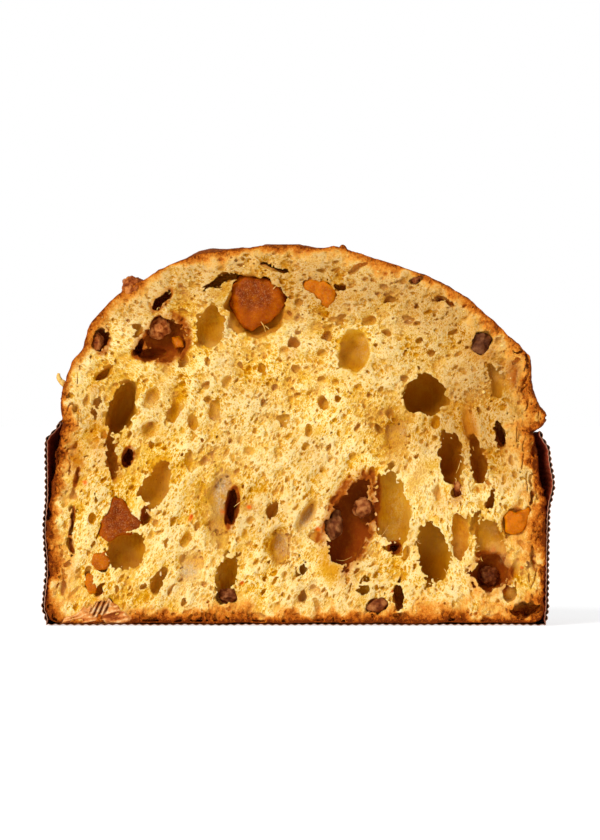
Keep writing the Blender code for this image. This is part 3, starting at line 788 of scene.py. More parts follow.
solid = np.clip(0.5 - bread / VOXEL, 0, 1)
fine_fill = box_blur(solid, 2)
# How enclosed each point is by crumb; the colour uses it to paint shade in pits.
pit_shade = read_grid(fine_fill, places)
stretched = read_grid(smooth_walls, places)
face_depth = read_grid(np.repeat(torn_relief, len(ys), axis=1).astype(np.float32), places)
behind_x = np.clip(((places[:, 0] - xs[0]) / VOXEL).round().astype(int), 0, len(xs) - 1)
behind_z = np.clip(((places[:, 2] - zs[0]) / VOXEL).round().astype(int), 0, len(zs) - 1)
behind = places[:, 1] - torn_relief[behind_x, 0, behind_z]
print("pit values:", np.round(np.percentile(pit_shade, [5, 50, 95]), 2))


# %% Stains, pocket walls and painted shade in the pockets
STAINS = [
    (-62.0, 60.0, 6.0, 14.0, -5, 0.30, 0.7), (-62.0, 3.8, 11.0, 3.0, -8, 0.30, 0.5), (54.5, 63.0, 3.2, 9.0, -10, 0.45, 0.6), (50.6, 42.0, 3.0, 6.0, 10, 0.6, 0.9),
    (69.0, 79.0, 4.0, 10.0, -8, 0.75, 0.9), (-70.5, 54.0, 4.5, 10.0, -5, 0.55, 0.8), (45.5, 39.0, 3.6, 6.0, 0, 0.25, 0.7),
    (51.5, 28.5, 3.0, 8.5, 0, 0.30, 0.6), (14.5, 16.0, 5.0, 5.0, 0, 0.30, 0.6), (59.0, 88.0, 6.5, 7.0, 0, 0.40, 0.7),
    (-3.0, 86.5, 4.0, 3.0, 30, 0.25, 0.7), (-44.0, 48.0, 4.0, 3.5, 60, 0.35, 0.7), (-57.0, 48.0, 3.0, 3.0, 0, 0.45, 0.8),
    (-63.5, 97.0, 2.6, 7.5, 35, 0.55, 0.7), (31.0, 53.0, 5.0, 6.0, 0, 0.16, 0.6), (-24.0, 22.0, 9.0, 5.0, 20, 0.10, 0.5), (66.0, 46.0, 4.0, 5.0, 0, 0.22, 0.6),
    (-6.0, 36.0, 4.0, 5.0, 20, 0.14, 0.6), (40.0, 60.0, 5.0, 5.0, 30, 0.10, 0.5), (-64.0, 75.0, 2.5, 3.0, 0, 0.35, 0.8),
]


def inside_share(x, height, row_x, row_height, half_width, half_height, lean):
    """0 in an ellipse's middle and 1 on its edge, for many points of the face."""
    right, up = x - row_x, height - row_height
    across = right * math.cos(lean) - up * math.sin(lean)
    along = right * math.sin(lean) + up * math.cos(lean)
    return np.hypot(across / half_width, along / half_height)


stain = np.zeros(len(places))
pocket_shade = np.zeros(len(places))
for row in POCKETS:
    centre, egg_radii, lean = pocket_egg(row)
    near = np.flatnonzero(
        (abs(places[:, 0] - row[0]) < 1.6 * max(egg_radii)) & (abs(places[:, 2] - row[1]) < 1.6 * max(egg_radii))
    )
    share, slope = egg_share(places[near].T, centre, egg_radii, lean)
    first = -2.5 if row[6] > 0.75 else -0.3
    wall = (1 - smooth(1.08, 1.40, share)) * smooth(first, 1.4, places[near, 1])
    stain[near] = np.maximum(stain[near], row[6] * wall)
    # Painted shade: the deep part of each pocket is darkened, its lower end most.
    sink = smooth(0.25, 0.95, places[near, 1] / row[4])
    low = mix(1.3, 0.5, smooth(-0.7, 0.7, (places[near, 2] - row[1]) / max(egg_radii[0], egg_radii[2])))
    pocket_shade[near] = np.maximum(pocket_shade[near], row[7] * wall * sink * low)
for x, height, half_width, half_height, lean, amount, softness in STAINS:
    share = inside_share(places[:, 0], places[:, 2], x, height, half_width, half_height, math.radians(lean))
    stain = np.maximum(stain, amount * (1 - smooth(1 - softness, 1.25, share)))
# Films of stretched dough, greyish where light falls on them: x, height, half sizes, lean, amount.
FILMS = [
    (-23.6, 42.0, 3.0, 7.6, 5, 0.9), (-34.0, 17.0, 3.4, 3.8, 0, 0.8), (2.8, 33.0, 2.2, 4.6, 25, 0.9), (-4.8, 25.5, 2.8, 4.6, 0, 0.6),
    (31.6, 37.0, 3.2, 8.5, 0, 0.6), (29.0, 28.5, 3.0, 3.6, 0, 0.7), (44.8, 27.0, 3.0, 6.0, 0, 0.2), (-22.0, 93.6, 2.6, 4.2, 12, 0.6),
    (20.5, 87.5, 2.6, 5.6, 5, 0.45), (-42.6, 93.6, 2.6, 3.6, 30, 0.7), (62.4, 27.0, 2.4, 5.4, -8, 0.35), (34.2, 61.0, 2.0, 4.4, 0, 0.4),
]
film = np.zeros(len(places))
for x, height, half_width, half_height, lean, amount in FILMS:
    share = inside_share(places[:, 0], places[:, 2], x, height, half_width, half_height, math.radians(lean))
    film = np.maximum(film, amount * (1 - smooth(0.45, 1.15, share)))
# Specks of orange zest.
ZEST = [(-15.8, 7.2, 1.1, 0.6), (-17.4, 13.6, 0.6, 0.7), (-23.6, 36.0, 0.8, 0.7), (-15.1, 37.5, 0.9, 0.7), (62.4, 24.2, 0.5, 1.1),
        (71.0, 18.4, 0.7, 0.5), (-33.5, 34.2, 0.7, 1.4), (6.6, 30.6, 0.9, 0.8), (-67.0, 45.4, 1.0, 0.6), (30.0, 11.0, 0.7, 0.5)]
zest = np.zeros(len(places))
for x, height, half_width, half_height in ZEST:
    share = inside_share(places[:, 0], places[:, 2], x, height, half_width, half_height, 0.3)
    zest = np.maximum(zest, 1 - smooth(0.5, 1.2, share))
print("stained share:", round(float((stain > 0.3).mean()), 3))


# %% How far the bake reaches in
def browning_at(points, skin_depth):
    """1 at the skin, fading into the crumb. It reaches furthest in at the base and low on the sides."""
    height = points[:, 2]
    reach = mix(2.5, 2.1, smooth(52, 76, height)) + 1.2 * (1 - smooth(1, 10, height))
    reach = reach + 1.5 * smooth(40, 70, points[:, 0])
    uneven = 1 + 0.30 * noise_at(points, 5.0, 61) + 0.30 * noise_at(points, 1.6, 62)
    strength = mix(1.22, 0.95, smooth(56, 84, height))
    return strength * np.exp(-np.maximum(skin_depth, 0) / (reach * np.clip(uneven, 0.25, 2.2)))


skin_value = read_grid(crust, places)
browning = browning_at(places, -skin_value)
outer = smooth(-0.8, -0.2, skin_value) * smooth(1.5, 9.0, places[:, 1])
# Painted shade: the crumb is made darker towards the right and the crown, over a little random tone.
side_shade_and_tone = 0.18 + 0.75 * smooth(90, 112, places[:, 2]) + 1.1 * smooth(14, 66, places[:, 0]) * smooth(36, 66, places[:, 2])
side_shade_and_tone = np.clip(side_shade_and_tone + 0.14 * noise_at(places, 9.0, 63), 0, 1)
print("browned share:", round(float((browning > 0.4).mean()), 3))


# %% [markdown]
# ## Splitting the crumb
# One mesh of half a million faces is slow to handle, so the crumb is cut into upright
# strips with about as many faces each. They meet point to point, and they share the
# directions of the whole surface, so that no seam shows.

# %% Make the strips
STRIPS = 6


def face_corners(faces):
    """All corners of a list of triangles and quads, with the corner count of each face."""
    return np.concatenate([part.ravel() for part in faces]), np.concatenate(
        [np.full(len(part), part.shape[1]) for part in faces]
    )


def build_mesh(name, points, faces, facts=None):
    """A mesh object from points in millimetres, faces of three or four corners and facts for its points."""
    corners, counts = face_corners(faces)
    mesh = bpy.data.meshes.new(name)
    mesh.vertices.add(len(points))
    mesh.vertices.foreach_set("co", to_metres(points).astype(np.float32).ravel())
    mesh.loops.add(len(corners))
    mesh.loops.foreach_set("vertex_index", corners.astype(np.int32))
    mesh.polygons.add(len(counts))
    mesh.polygons.foreach_set("loop_start", np.concatenate([[0], np.cumsum(counts)[:-1]]).astype(np.int32))
    mesh.update(calc_edges=True)
    mesh.validate()
    for fact, values in (facts or {}).items():
        mesh.attributes.new(fact, "FLOAT", "POINT").data.foreach_set("value", values.astype(np.float32))
    mesh.shade_smooth()
    piece = bpy.data.objects.new(name, mesh)
    bpy.context.scene.collection.objects.link(piece)
    return piece


def point_directions(points, faces):
    """The direction that the surface faces at every point."""
    total = np.zeros((len(points), 3))
    for part in faces:
        corner = points[part]
        across = np.cross(corner[:, 2] - corner[:, 0], corner[:, -1] - corner[:, 1] if part.shape[1] == 4
                          else corner[:, 1] - corner[:, 0])
        if part.shape[1] == 3:
            across = -across
        for turn in range(3):
            for side in range(part.shape[1]):
                total[:, turn] += np.bincount(part[:, side], across[:, turn], len(points))
    return total / np.maximum(np.linalg.norm(total, axis=1, keepdims=True), 1e-12)


def streamed(points):
    """Places pulled straight along the streams, so that a round pattern on them comes out drawn along the streams."""
    x, depth, height = points.T
    table = np.linspace(-5, 140, 400)
    step = table[1] - table[0]
    upright = np.interp(height, table, np.cumsum(step / np.sqrt(tallness(table))))
    slide = np.interp(height, table, np.cumsum(step * (1 - smooth(62, 96, table))))
    low_lean = np.tan(np.radians(flow_lean(x, 0 * height)))
    return (x - low_lean * (slide - 35)) * np.sqrt(np.clip(tallness(height), 0.8, 1.6)), depth, upright


stream_x, stream_depth, stream_z = streamed(places)
facts = {
    "depth": places[:, 1], "film": film, "zest": zest, "stream_x": stream_x, "stream_z": stream_z, "behind": behind, "pit_shade": pit_shade,
    "stain": stain, "pocket_shade": pocket_shade, "browning": browning, "wall": stretched,
    "side_shade_and_tone": side_shade_and_tone, "dish": np.clip(face_depth, -1, 2.5), "outer": outer,
}
directions = point_directions(places, [keep_triangles, keep_quads])
middles = np.concatenate([places[keep_triangles][:, :, 0].mean(1), places[keep_quads][:, :, 0].mean(1)])
weights = np.concatenate([np.full(len(keep_triangles), 1), np.full(len(keep_quads), 2)])
order = np.argsort(middles)
steps = np.searchsorted(np.cumsum(weights[order]), np.linspace(0, weights.sum(), STRIPS + 1)[1:-1])
borders = [-1e9, *middles[order][steps], 1e9]
crumb_strips = []
for number, (low, high) in enumerate(zip(borders, borders[1:]), start=1):
    parts = []
    for part in (keep_triangles, keep_quads):
        middle = places[part][:, :, 0].mean(1)
        parts.append(part[(middle >= low) & (middle < high)])
    used, numbers = np.unique(face_corners(parts)[0], return_inverse=True)
    split = 3 * len(parts[0])
    faces = [numbers[:split].reshape(-1, 3), numbers[split:].reshape(-1, 4)]
    strip = build_mesh(f"crumb_{number}", places[used], faces, {fact: facts[fact][used] for fact in facts})
    strip.data.normals_split_custom_set_from_vertices(directions[used])
    crumb_strips.append(strip)
print("strips:", [len(strip.data.vertices) for strip in crumb_strips])

# %% [markdown]
# ## The back of the loaf
# Behind the slab nothing is cut, so the loaf is only its skin. It is a half turn of the same
# outline with the same relief, so that it carries on from the slab without a step. A plane
# cuts off the front of the turn, and one flat face closes it there.

# %% Turn the back
BACK_SECTORS, BACK_ROWS = 220, 170
SEAM_DEPTH = SLAB_DEPTH - 1.5


def even_rows(outline, count):
    """Points at even steps along an outline."""
    along = np.concatenate([[0], np.cumsum(np.hypot(*np.diff(outline, axis=0).T))])
    steps = np.linspace(0, along[-1], count)
    return np.stack([np.interp(steps, along, outline[:, side]) for side in (0, 1)], axis=1)


def turned_faces(sectors, rows):
    """Quads between neighbouring columns of a turned grid of points."""
    corner = np.arange(sectors)[:, None] * rows + np.arange(rows - 1)[None, :]
    corner = corner.ravel()
    return np.stack([corner, corner + rows, corner + rows + 1, corner + 1], axis=1)


def turn_back():
    points = []
    for angle in np.linspace(0, math.pi, BACK_SECTORS + 1):
        rows = even_rows(loaf_outline(angle)[1:], BACK_ROWS)
        points.append(np.stack([rows[:, 0] * math.cos(angle), rows[:, 0] * math.sin(angle), rows[:, 1]], axis=1))
    points = np.concatenate(points)
    faces = turned_faces(BACK_SECTORS, BACK_ROWS)
    outwards = point_directions(points, [faces])
    if (outwards[:, 1] * points[:, 1]).sum() < 0:
        outwards = -outwards
        faces = faces[:, ::-1]
    relief = sum(amount * noise_at(points, cell, seed) for cell, amount, seed in CRUST_RELIEF)
    relief = relief * relief_strength(points[:, 2]) - 0.4 * (1 - smooth(34, 46, points[:, 2]))
    points -= outwards * relief[:, None]
    return points, faces


back_points, back_faces = turn_back()
loaf_back = build_mesh("loaf_back", back_points, [back_faces])
print("back points:", len(back_points))


# %% Cut the back at the seam
def cut_at_seam(piece, depth):
    """Remove what lies in front of a plane and close the cut with one face."""
    body = bmesh.new()
    body.from_mesh(piece.data)
    bmesh.ops.remove_doubles(body, verts=body.verts, dist=0.02 * MM)
    plane = Vector((0, (CUT_Y + depth) * MM, 0))
    everything = body.verts[:] + body.edges[:] + body.faces[:]
    bmesh.ops.bisect_plane(body, geom=everything, plane_co=plane, plane_no=(0, 1, 0), clear_inner=True)
    rim = [edge for edge in body.edges if edge.is_boundary]
    bmesh.ops.contextual_create(body, geom=rim)
    bmesh.ops.recalc_face_normals(body, faces=body.faces)
    body.to_mesh(piece.data)
    body.free()


cut_at_seam(loaf_back, SEAM_DEPTH)
print("faces in the back:", len(loaf_back.data.polygons))


def add_facts(piece, facts):
    """Give a mesh the same named facts as the crumb, each as one value for every point."""
    count = len(piece.data.vertices)
    for fact, value in facts.items():
        piece.data.attributes.new(fact, "FLOAT", "POINT").data.foreach_set("value", np.full(count, value, np.float32))


add_facts(loaf_back, {"depth": 0, "behind": 0, "pit_shade": 0.5, "browning": 1, "side_shade_and_tone": 0.5, "outer": 1})

# %% [markdown]
# ## Torn bits on the cut
# A knife drags: it leaves threads of crumb over the holes, loose crumbs on the face and, at
# the lower left, a crumpled fold of crust. Threads are thin bent tubes, crumbs are small
# lumps, and the fold is a patch of wrinkles. Each kind is one joined mesh.

# %% Threads of crumb
bits = random.Random(11)


def thread(places_on_it, thickness):
    """A thin tube of five sides along a few points of (x, depth, height), tapered at both ends."""
    line = np.array(places_on_it, float)
    share = np.linspace(0, len(line) - 1, 4 * (len(line) - 1) + 1)
    line = np.stack([np.interp(share, range(len(line)), line[:, turn]) for turn in range(3)], axis=1)
    for _ in range(3):
        line[1:-1] = (line[:-2] + 2 * line[1:-1] + line[2:]) / 4
    ahead = np.gradient(line, axis=0)
    ahead /= np.maximum(np.linalg.norm(ahead, axis=1, keepdims=True), 1e-9)
    side = np.cross(ahead, (0.3, 1.0, 0.2))
    side /= np.maximum(np.linalg.norm(side, axis=1, keepdims=True), 1e-9)
    other = np.cross(ahead, side)
    taper = thickness * (0.35 + 0.65 * np.sin(np.pi * np.linspace(0.06, 0.94, len(line)))) / 2
    turns = 2 * np.pi * np.arange(5) / 5
    rings = [line + taper[:, None] * (math.cos(t) * side + math.sin(t) * other) for t in turns]
    points = np.stack(rings, axis=1).reshape(-1, 3)
    start = 5 * np.arange(len(line) - 1)[:, None] + np.arange(5)[None, :]
    following = 5 * np.arange(len(line) - 1)[:, None] + (np.arange(5)[None, :] + 1) % 5
    return points, np.stack([start, following, following + 5, start + 5], axis=2).reshape(-1, 4)


def join(parts):
    """Join lists of (points, faces) into one."""
    moved, total = [], 0
    for points, faces in parts:
        moved.append(faces + total)
        total += len(points)
    return np.concatenate([points for points, faces in parts]), np.concatenate(moved)


# Threads that show on the real cut: their ends and bends, then their thickness.
THREADS = [
    ([(-11.4, -0.8, 96.0), (-10.4, -1.1, 94.7), (-9.9, -0.6, 92.8)], 0.34), ([(-10.2, -1.0, 94.9), (-8.8, -0.8, 93.7)], 0.26),
    ([(-19.9, 0.6, 37.6), (-18.4, 0.2, 38.8), (-16.4, 0.3, 40.2)], 0.22), ([(-25.4, 1.4, 48.0), (-23.8, 0.8, 43.6), (-24.4, 1.2, 37.0)], 0.18),
    ([(12.4, 3.4, 20.8), (14.8, 2.8, 20.4), (17.4, 2.6, 21.8)], 0.14), ([(24.8, 1.6, 27.0), (27.0, 1.0, 28.6), (29.0, 1.4, 31.8)], 0.12),
    ([(-72.0, 1.4, 74.4), (-74.0, 0.8, 76.4), (-75.4, 0.6, 78.4), (-75.2, 0.6, 79.8)], 1.7), ([(-72.4, 1.4, 75.6), (-73.8, 0.8, 77.0), (-74.6, 0.6, 77.6)], 1.5),
    ([(50.2, 0.8, 48.2), (51.0, 0.3, 49.8), (51.4, 0.7, 51.6)], 0.24),
]
parts = [thread(*row) for row in THREADS]
for row in POCKETS:
    if row[2] * row[3] < 7 or abs(row[0]) > 66:
        continue
    for number in range(bits.randint(0, 3)):
        turn = bits.uniform(0, 2 * math.pi)
        lean = math.radians(row[5])
        right, up = row[2] * math.cos(turn), row[3] * math.sin(turn)
        x = row[0] + right * math.cos(lean) + up * math.sin(lean)
        height = row[1] - right * math.sin(lean) + up * math.cos(lean)
        reach = bits.uniform(0.08, 0.26)
        swing = bits.uniform(-0.5, 0.5)
        ahead = ((row[0] - x) * reach, (row[1] - height) * reach)
        aside = (-ahead[1] * swing, ahead[0] * swing)
        parts.append(thread([
            (x - ahead[0] * 0.4, 0.5, height - ahead[1] * 0.4), (x + ahead[0] * 0.5 + aside[0], 0.1, height + ahead[1] * 0.5 + aside[1]),
            (x + ahead[0], bits.uniform(0.1, 1.2), height + ahead[1]),
        ], bits.uniform(0.16, 0.30)))
points, quads_of_threads = join(parts)
crumb_threads = build_mesh("crumb_threads", points, [quads_of_threads])
print("threads:", len(parts))

# %% Loose crumbs on the face
small = bmesh.new()
bmesh.ops.create_icosphere(small, subdivisions=2, radius=1.0)
lump_points = np.array([vertex.co[:] for vertex in small.verts])
lump_faces = np.array([[vertex.index for vertex in face.verts] for face in small.faces])
small.free()
parts = []
for number in range(200):
    x, height = bits.uniform(-74, 74), bits.uniform(3, 117)
    if skin_distance[int((x - xs[0]) / VOXEL), int((height - zs[0]) / VOXEL)] > -1.0:
        continue
    lying = int(np.argmax(bread[int((x - xs[0]) / VOXEL), :, int((height - zs[0]) / VOXEL)] < 0))
    if ys[lying] > 2.0:
        continue
    size = 0.14 + 0.22 * bits.random() ** 2
    stretch = np.array((bits.uniform(0.7, 1.4), bits.uniform(0.7, 1.1), bits.uniform(0.7, 1.4)))
    points = lump_points * size * stretch
    points *= 1 + 0.30 * noise_at(lump_points * 3 + number, 2.6, 400 + number % 7)[:, None]
    parts.append((points + (x, ys[lying] - 0.3 * size, height), lump_faces))
points, faces_of_crumbs = join(parts)
loose_crumbs = build_mesh("loose_crumbs", points, [faces_of_crumbs])
print("loose crumbs:", len(parts))

# %% The fold at the lower left
FOLD_TOP = [(-74.8, 2.6), (-71.0, 4.2), (-68.5, 5.2), (-66.0, 6.3), (-63.8, 7.9), (-62.2, 9.4), (-61.2, 10.2), (-60.0, 8.9),
            (-58.4, 7.6), (-56.5, 6.3), (-54.6, 4.4), (-52.0, 2.4)]
across, up = np.meshgrid(np.linspace(0, 1, 180), np.linspace(0, 1, 70), indexing="ij")
x = mix(-74.8, -52.0, across)
uneven = noise_at(np.stack([x[:, 0], 0 * x[:, 0], 0 * x[:, 0]], axis=1), 0.9, 70)[:, None]
height = 0.7 + up * (np.interp(x, *zip(*FOLD_TOP)) + 0.35 * uneven - 0.7)
hollow = 1 - smooth(0.60, 1.0, np.hypot((x + 62.1 - 0.35 * (height - 5.8)) / 3.6, (height - 5.7) / 3.6))
ribs = 0.5 + 0.5 * np.cos((x + 62.3 - 0.45 * (height - 5.8)) * 2 * math.pi / 1.6)
band_places = np.stack([0.20 * x + 0.05 * height, 0 * x, height - 0.22 * x], axis=2).reshape(-1, 3)
creases = 0.7 - np.abs(noise_at(band_places, 0.8, 71)).reshape(x.shape)
crumpled = noise_at(np.stack([x, 0 * x, height], axis=2).reshape(-1, 3), 1.1, 72).reshape(x.shape)
edge = np.clip(np.minimum(up * 7, np.minimum(1 - up, 1) * 4), 0, 1) * np.clip(np.minimum(across, 1 - across) * 14, 0, 1)
depth = 0.9 - edge * (1.25 + 0.38 * creases + 0.26 * crumpled) + hollow * (1.5 - 1.1 * ribs ** 0.6)
points = np.stack([x, depth, height], axis=2).reshape(-1, 3)
start = (70 * np.arange(179)[:, None] + np.arange(69)[None, :]).ravel()
# The first fact paints shade in the hollow between the ribs, the second a highlight on raised creases and ribs.
crust_fold = build_mesh("crust_fold", points, [np.stack([start, start + 70, start + 71, start + 1], axis=1)], {
    "dark": np.clip(hollow * (1.0 - 0.9 * ribs), 0, 1).ravel(), "ridge_light_and_shade": np.clip(0.45 + 0.5 * creases + 0.3 * hollow * ribs, 0, 1).ravel(),
})
print("fold points:", len(points))

# %% [markdown]
# ## The paper case
# The case is two sheets. The outer one is pressed into level ridges, 32 from floor to rim,
# and the inner one is smooth and glued behind it. On the cut the two make a row of tiny
# arches. Both sheets are turned from the same case outline as the plain model.

# %% Case sizes
FLUTES = 32
FLUTE_START = 1.6
FLUTE_DEPTH = 0.8
SHEET = 0.20
CASE_SECTORS = 96
STEPS_PER_FLUTE = 6


def dent(angle, height):
    """Slow unevenness of the paper wall, in millimetres, zero near the cut and the floor."""
    wave = 0.5 * math.sin(3.1 * angle + 0.06 * height) + 0.5 * math.sin(7.3 * angle - 0.11 * height + 1.2)
    return 0.30 * wave * math.sin(angle) ** 0.5 * min(height / 20, 1.0)


# How far the paper stands out at the cut, on the right and on the left, by height.
RIGHT_BULGE = [(0, 0.2), (20, 0.1), (38, 0.3), (45, 1.0), (52, 0.5), (61, 0.2)]
LEFT_BULGE = [(0, 0.1), (30, 0.1), (46, 0.5), (58, 0.6), (64, 0.3)]


def bulge(angle, height):
    """The paper's bulge, which fades within a sixth of the half turn behind the cut."""
    right = value_at(RIGHT_BULGE, height) * (1 - smooth(0.0, 0.5, angle))
    return float(right + value_at(LEFT_BULGE, height) * (1 - smooth(0.0, 0.5, math.pi - angle)))


def case_point(angle, height, inwards):
    radius = case_radius(angle, height) - inwards + dent(angle, height) + bulge(angle, height)
    return radius * math.cos(angle), radius * math.sin(angle), height


def flute(height, top):
    """How far a ridged sheet lies in from its crests, at a height."""
    turn = (height - FLUTE_START) / (top - FLUTE_START) * FLUTES
    if turn < 0:
        return FLUTE_DEPTH
    number = int(turn)
    pressed = 0.82 + 0.18 * math.sin(2.4 * number) * math.cos(1.1 * number)
    return FLUTE_DEPTH * (1 - pressed * abs(math.sin(math.pi * turn)) ** 0.7)


# %% Turn the two sheets
def sheet_mesh(name, line, sectors):
    """A thin half-turned sheet between an outer and an inner line of (height, inwards) at each angle."""
    points = []
    for angle in np.linspace(0, math.pi, sectors + 1):
        outer, inner = line(angle)
        points += [case_point(angle, *row) for row in outer]
        points += [case_point(angle, *row) for row in reversed(inner)]
    rows = len(points) // (sectors + 1)
    corner = (np.arange(sectors)[:, None] * rows + np.arange(rows)[None, :]).ravel()
    following = np.where((corner % rows) == rows - 1, corner - rows + 1, corner + 1)
    faces = [np.stack([corner, corner + rows, following + rows, following], axis=1)]
    half = rows // 2
    for start, flip in ((0, False), (sectors * rows, True)):
        step = np.arange(half - 1)
        cap = np.stack([step, step + 1, rows - 2 - step, rows - 1 - step], axis=1) + start
        faces.append(cap[:, ::-1] if flip else cap)
    return build_mesh(name, np.array(points), [np.concatenate(faces)])


def wavy_line(angle):
    top = rim_height(angle)
    fraying = 0.35 * math.sin(23 * angle) + 0.25 * math.sin(41 * angle + 1)
    outer, inner = [], []
    for height in np.linspace(0.3, top, FLUTES * STEPS_PER_FLUTE + 1):
        lift = fraying * smooth(top - 3, top, height)
        outer.append((height + lift, flute(height, top)))
        inner.append((height + lift, flute(height, top) + SHEET))
    return outer, inner


def liner_line(angle):
    top = rim_height(angle)
    heights = np.linspace(1.0, top, 4 * FLUTES + 1)
    fraying = 0.3 * math.sin(19 * angle + 2)
    outer = []
    for height in heights:
        ripple = 0.10 * math.sin(2 * math.pi * (height - FLUTE_START) / (top - FLUTE_START) * FLUTES)
        outer.append((height + fraying * smooth(top - 3, top, height), FLUTE_DEPTH + SHEET + 0.05 + ripple))
    return outer, [(height, inwards + SHEET) for height, inwards in outer]


case_outer = sheet_mesh("case_outer", wavy_line, CASE_SECTORS)
case_liner = sheet_mesh("case_liner", liner_line, CASE_SECTORS)
print("case points:", len(case_outer.data.vertices), len(case_liner.data.vertices))

# %% [markdown]
# ## The case's floor
# The floor is a disc of the same ridged paper, cut through with the rest. Its ridges run
# away from the cut, which is why the base line of the cut is wavy.

# %% Make the floor
FLOOR_PITCH = 2.4


def floor_height(x, y):
    return 0.40 + 0.15 * math.sin(2 * math.pi * x / FLOOR_PITCH) + 0.06 * math.sin(0.31 * x + 0.2 * y)


def make_floor():
    """A ridged disc, made as rings of the case's own outline so that it meets the wall."""
    points, faces = [], []
    columns, rows = 480, 16
    for side in (0.5 * SHEET, -0.5 * SHEET):
        for share in np.linspace(-1, 1, columns + 1):
            across = case_radius(0 if share > 0 else math.pi, 1.0) - 0.9
            x = share * across
            back = math.sqrt(max(across ** 2 - x ** 2, 0.0))
            for part in np.linspace(0, 1, rows + 1):
                points.append((x, part * back, floor_height(x, part * back) + side))
    layer = (columns + 1) * (rows + 1)
    corner = (np.arange(columns)[:, None] * (rows + 1) + np.arange(rows)[None, :]).ravel()
    quad = np.stack([corner, corner + rows + 1, corner + rows + 2, corner + 1], axis=1)
    edge = np.arange(columns) * (rows + 1)
    front = np.stack([edge, edge + layer, edge + layer + rows + 1, edge + rows + 1], axis=1)
    edge = edge + rows
    back = np.stack([edge, edge + rows + 1, edge + layer + rows + 1, edge + layer], axis=1)
    return build_mesh("case_floor", np.array(points), [np.concatenate([quad, (quad + layer)[:, ::-1], front, back])])


case_floor = make_floor()
print("floor points:", len(case_floor.data.vertices))

# %% [markdown]
# ## Candied peel and raisins
# Peel is cut into blocks and boiled in syrup, so its corners are soft and its skin is
# glossy. A raisin is a dried grape, and its skin folds in on itself. Both start as the same
# fine ball, pulled towards an outline, with different folds.

# %% Shape a piece of fruit
def ball(detail):
    """The points and faces of a fine ball of radius 1."""
    body = bmesh.new()
    bmesh.ops.create_icosphere(body, subdivisions=detail, radius=1.0)
    points = np.array([vertex.co[:] for vertex in body.verts])
    faces = np.array([[vertex.index for vertex in face.verts] for face in body.faces])
    body.free()
    return points, faces


FINE_BALL, PLAIN_BALL = ball(5), ball(4)


def outline_radius(outline, angles):
    """How far a closed outline lies from its middle in every direction, with its corners softened."""
    middle = np.mean(outline, axis=0)
    fine = np.linspace(-math.pi, math.pi, 361)[:-1]
    reach = np.zeros(len(fine))
    shifted = np.array(outline) - middle
    for (x0, z0), (x1, z1) in zip(shifted, np.roll(shifted, -1, 0)):
        along = fine[:, None]
        cross = (x0 * z1 - x1 * z0)
        below = np.cos(fine) * (z1 - z0) - np.sin(fine) * (x1 - x0)
        far = cross / np.where(abs(below) < 1e-9, 1e-9, below)
        share = ((far * np.cos(fine) - x0) * (x1 - x0) + (far * np.sin(fine) - z0) * (z1 - z0))
        share = share / ((x1 - x0) ** 2 + (z1 - z0) ** 2)
        hit = (far > 0) & (share >= -1e-6) & (share <= 1 + 1e-6)
        reach = np.where(hit, np.maximum(reach, far), reach)
    kernel = np.hanning(15)
    reach = np.convolve(np.concatenate([reach[-7:], reach, reach[:7]]), kernel / kernel.sum(), "valid")
    return middle, np.interp(angles, fine, reach, period=2 * math.pi)


def squared_ball(ball_points, power):
    """A ball's points, squared off between its outline and its front: (share of outline, share of depth, angle)."""
    x, depth, height = ball_points.T
    ring = np.hypot(x, height)
    norm = (ring ** power + np.abs(depth) ** power) ** (1 / power)
    return ring / norm, depth / norm, np.arctan2(height, x)


def peel_points(ball_points, outline, middle_depth, half_thickness, back_lean, seed):
    ring, depth, angles = squared_ball(ball_points, 4.0)
    middle, reach = outline_radius(outline, angles)
    x = middle[0] + ring * reach * np.cos(angles)
    height = middle[1] + ring * reach * np.sin(angles)
    tilt = back_lean * (height - middle[1])
    points = np.stack([x, middle_depth + depth * half_thickness + tilt, height], axis=1)
    ragged = 1 + (0.025 if seed == 1 else 0.06) * noise_at(points * (1, 0.3, 1), 1.8, 260 + seed)
    points[:, [0, 2]] = middle + (points[:, [0, 2]] - middle) * ragged[:, None]
    out = ball_points / np.array((np.mean(reach), half_thickness, np.mean(reach)))
    out /= np.linalg.norm(out, axis=1, keepdims=True)
    bumps = 0.22 * noise_at(points, 2.2, 200 + seed) + 0.13 * noise_at(points, 1.0, 230 + seed)
    return points + out * bumps[:, None]


def raisin_points(ball_points, row, seed):
    """A raisin: a lump pressed out of round, then wrinkled with folds and crumbs."""
    x, height, half_width, half_height, thickness, depth, lean = row
    sizes = np.array((half_width, thickness, half_height))
    points = ball_points * sizes
    away = np.array((13.7 * seed % 60 - 30, 20, 9.1 * seed % 60 + 20))
    out = ball_points / sizes
    out /= np.linalg.norm(out, axis=1, keepdims=True)
    folds = 0.30 * noise_at(points + away, 2.6, 300 + seed)
    folds += 0.34 * (0.6 - np.abs(noise_at(points + away, 1.1, 330 + seed)))
    folds += 0.20 * noise_at(points + away, 0.7, 360 + seed)
    points = points + out * np.maximum(folds, -0.8)[:, None]
    angle = math.radians(lean)
    right = points[:, 0] * math.cos(angle) + points[:, 2] * math.sin(angle)
    up = -points[:, 0] * math.sin(angle) + points[:, 2] * math.cos(angle)
    # The second value, high on ridges and low in folds, drives a painted highlight and painted shade.
    return np.stack([x + right, depth + points[:, 1], height + up], axis=1), np.clip(0.5 + folds, 0, 1)


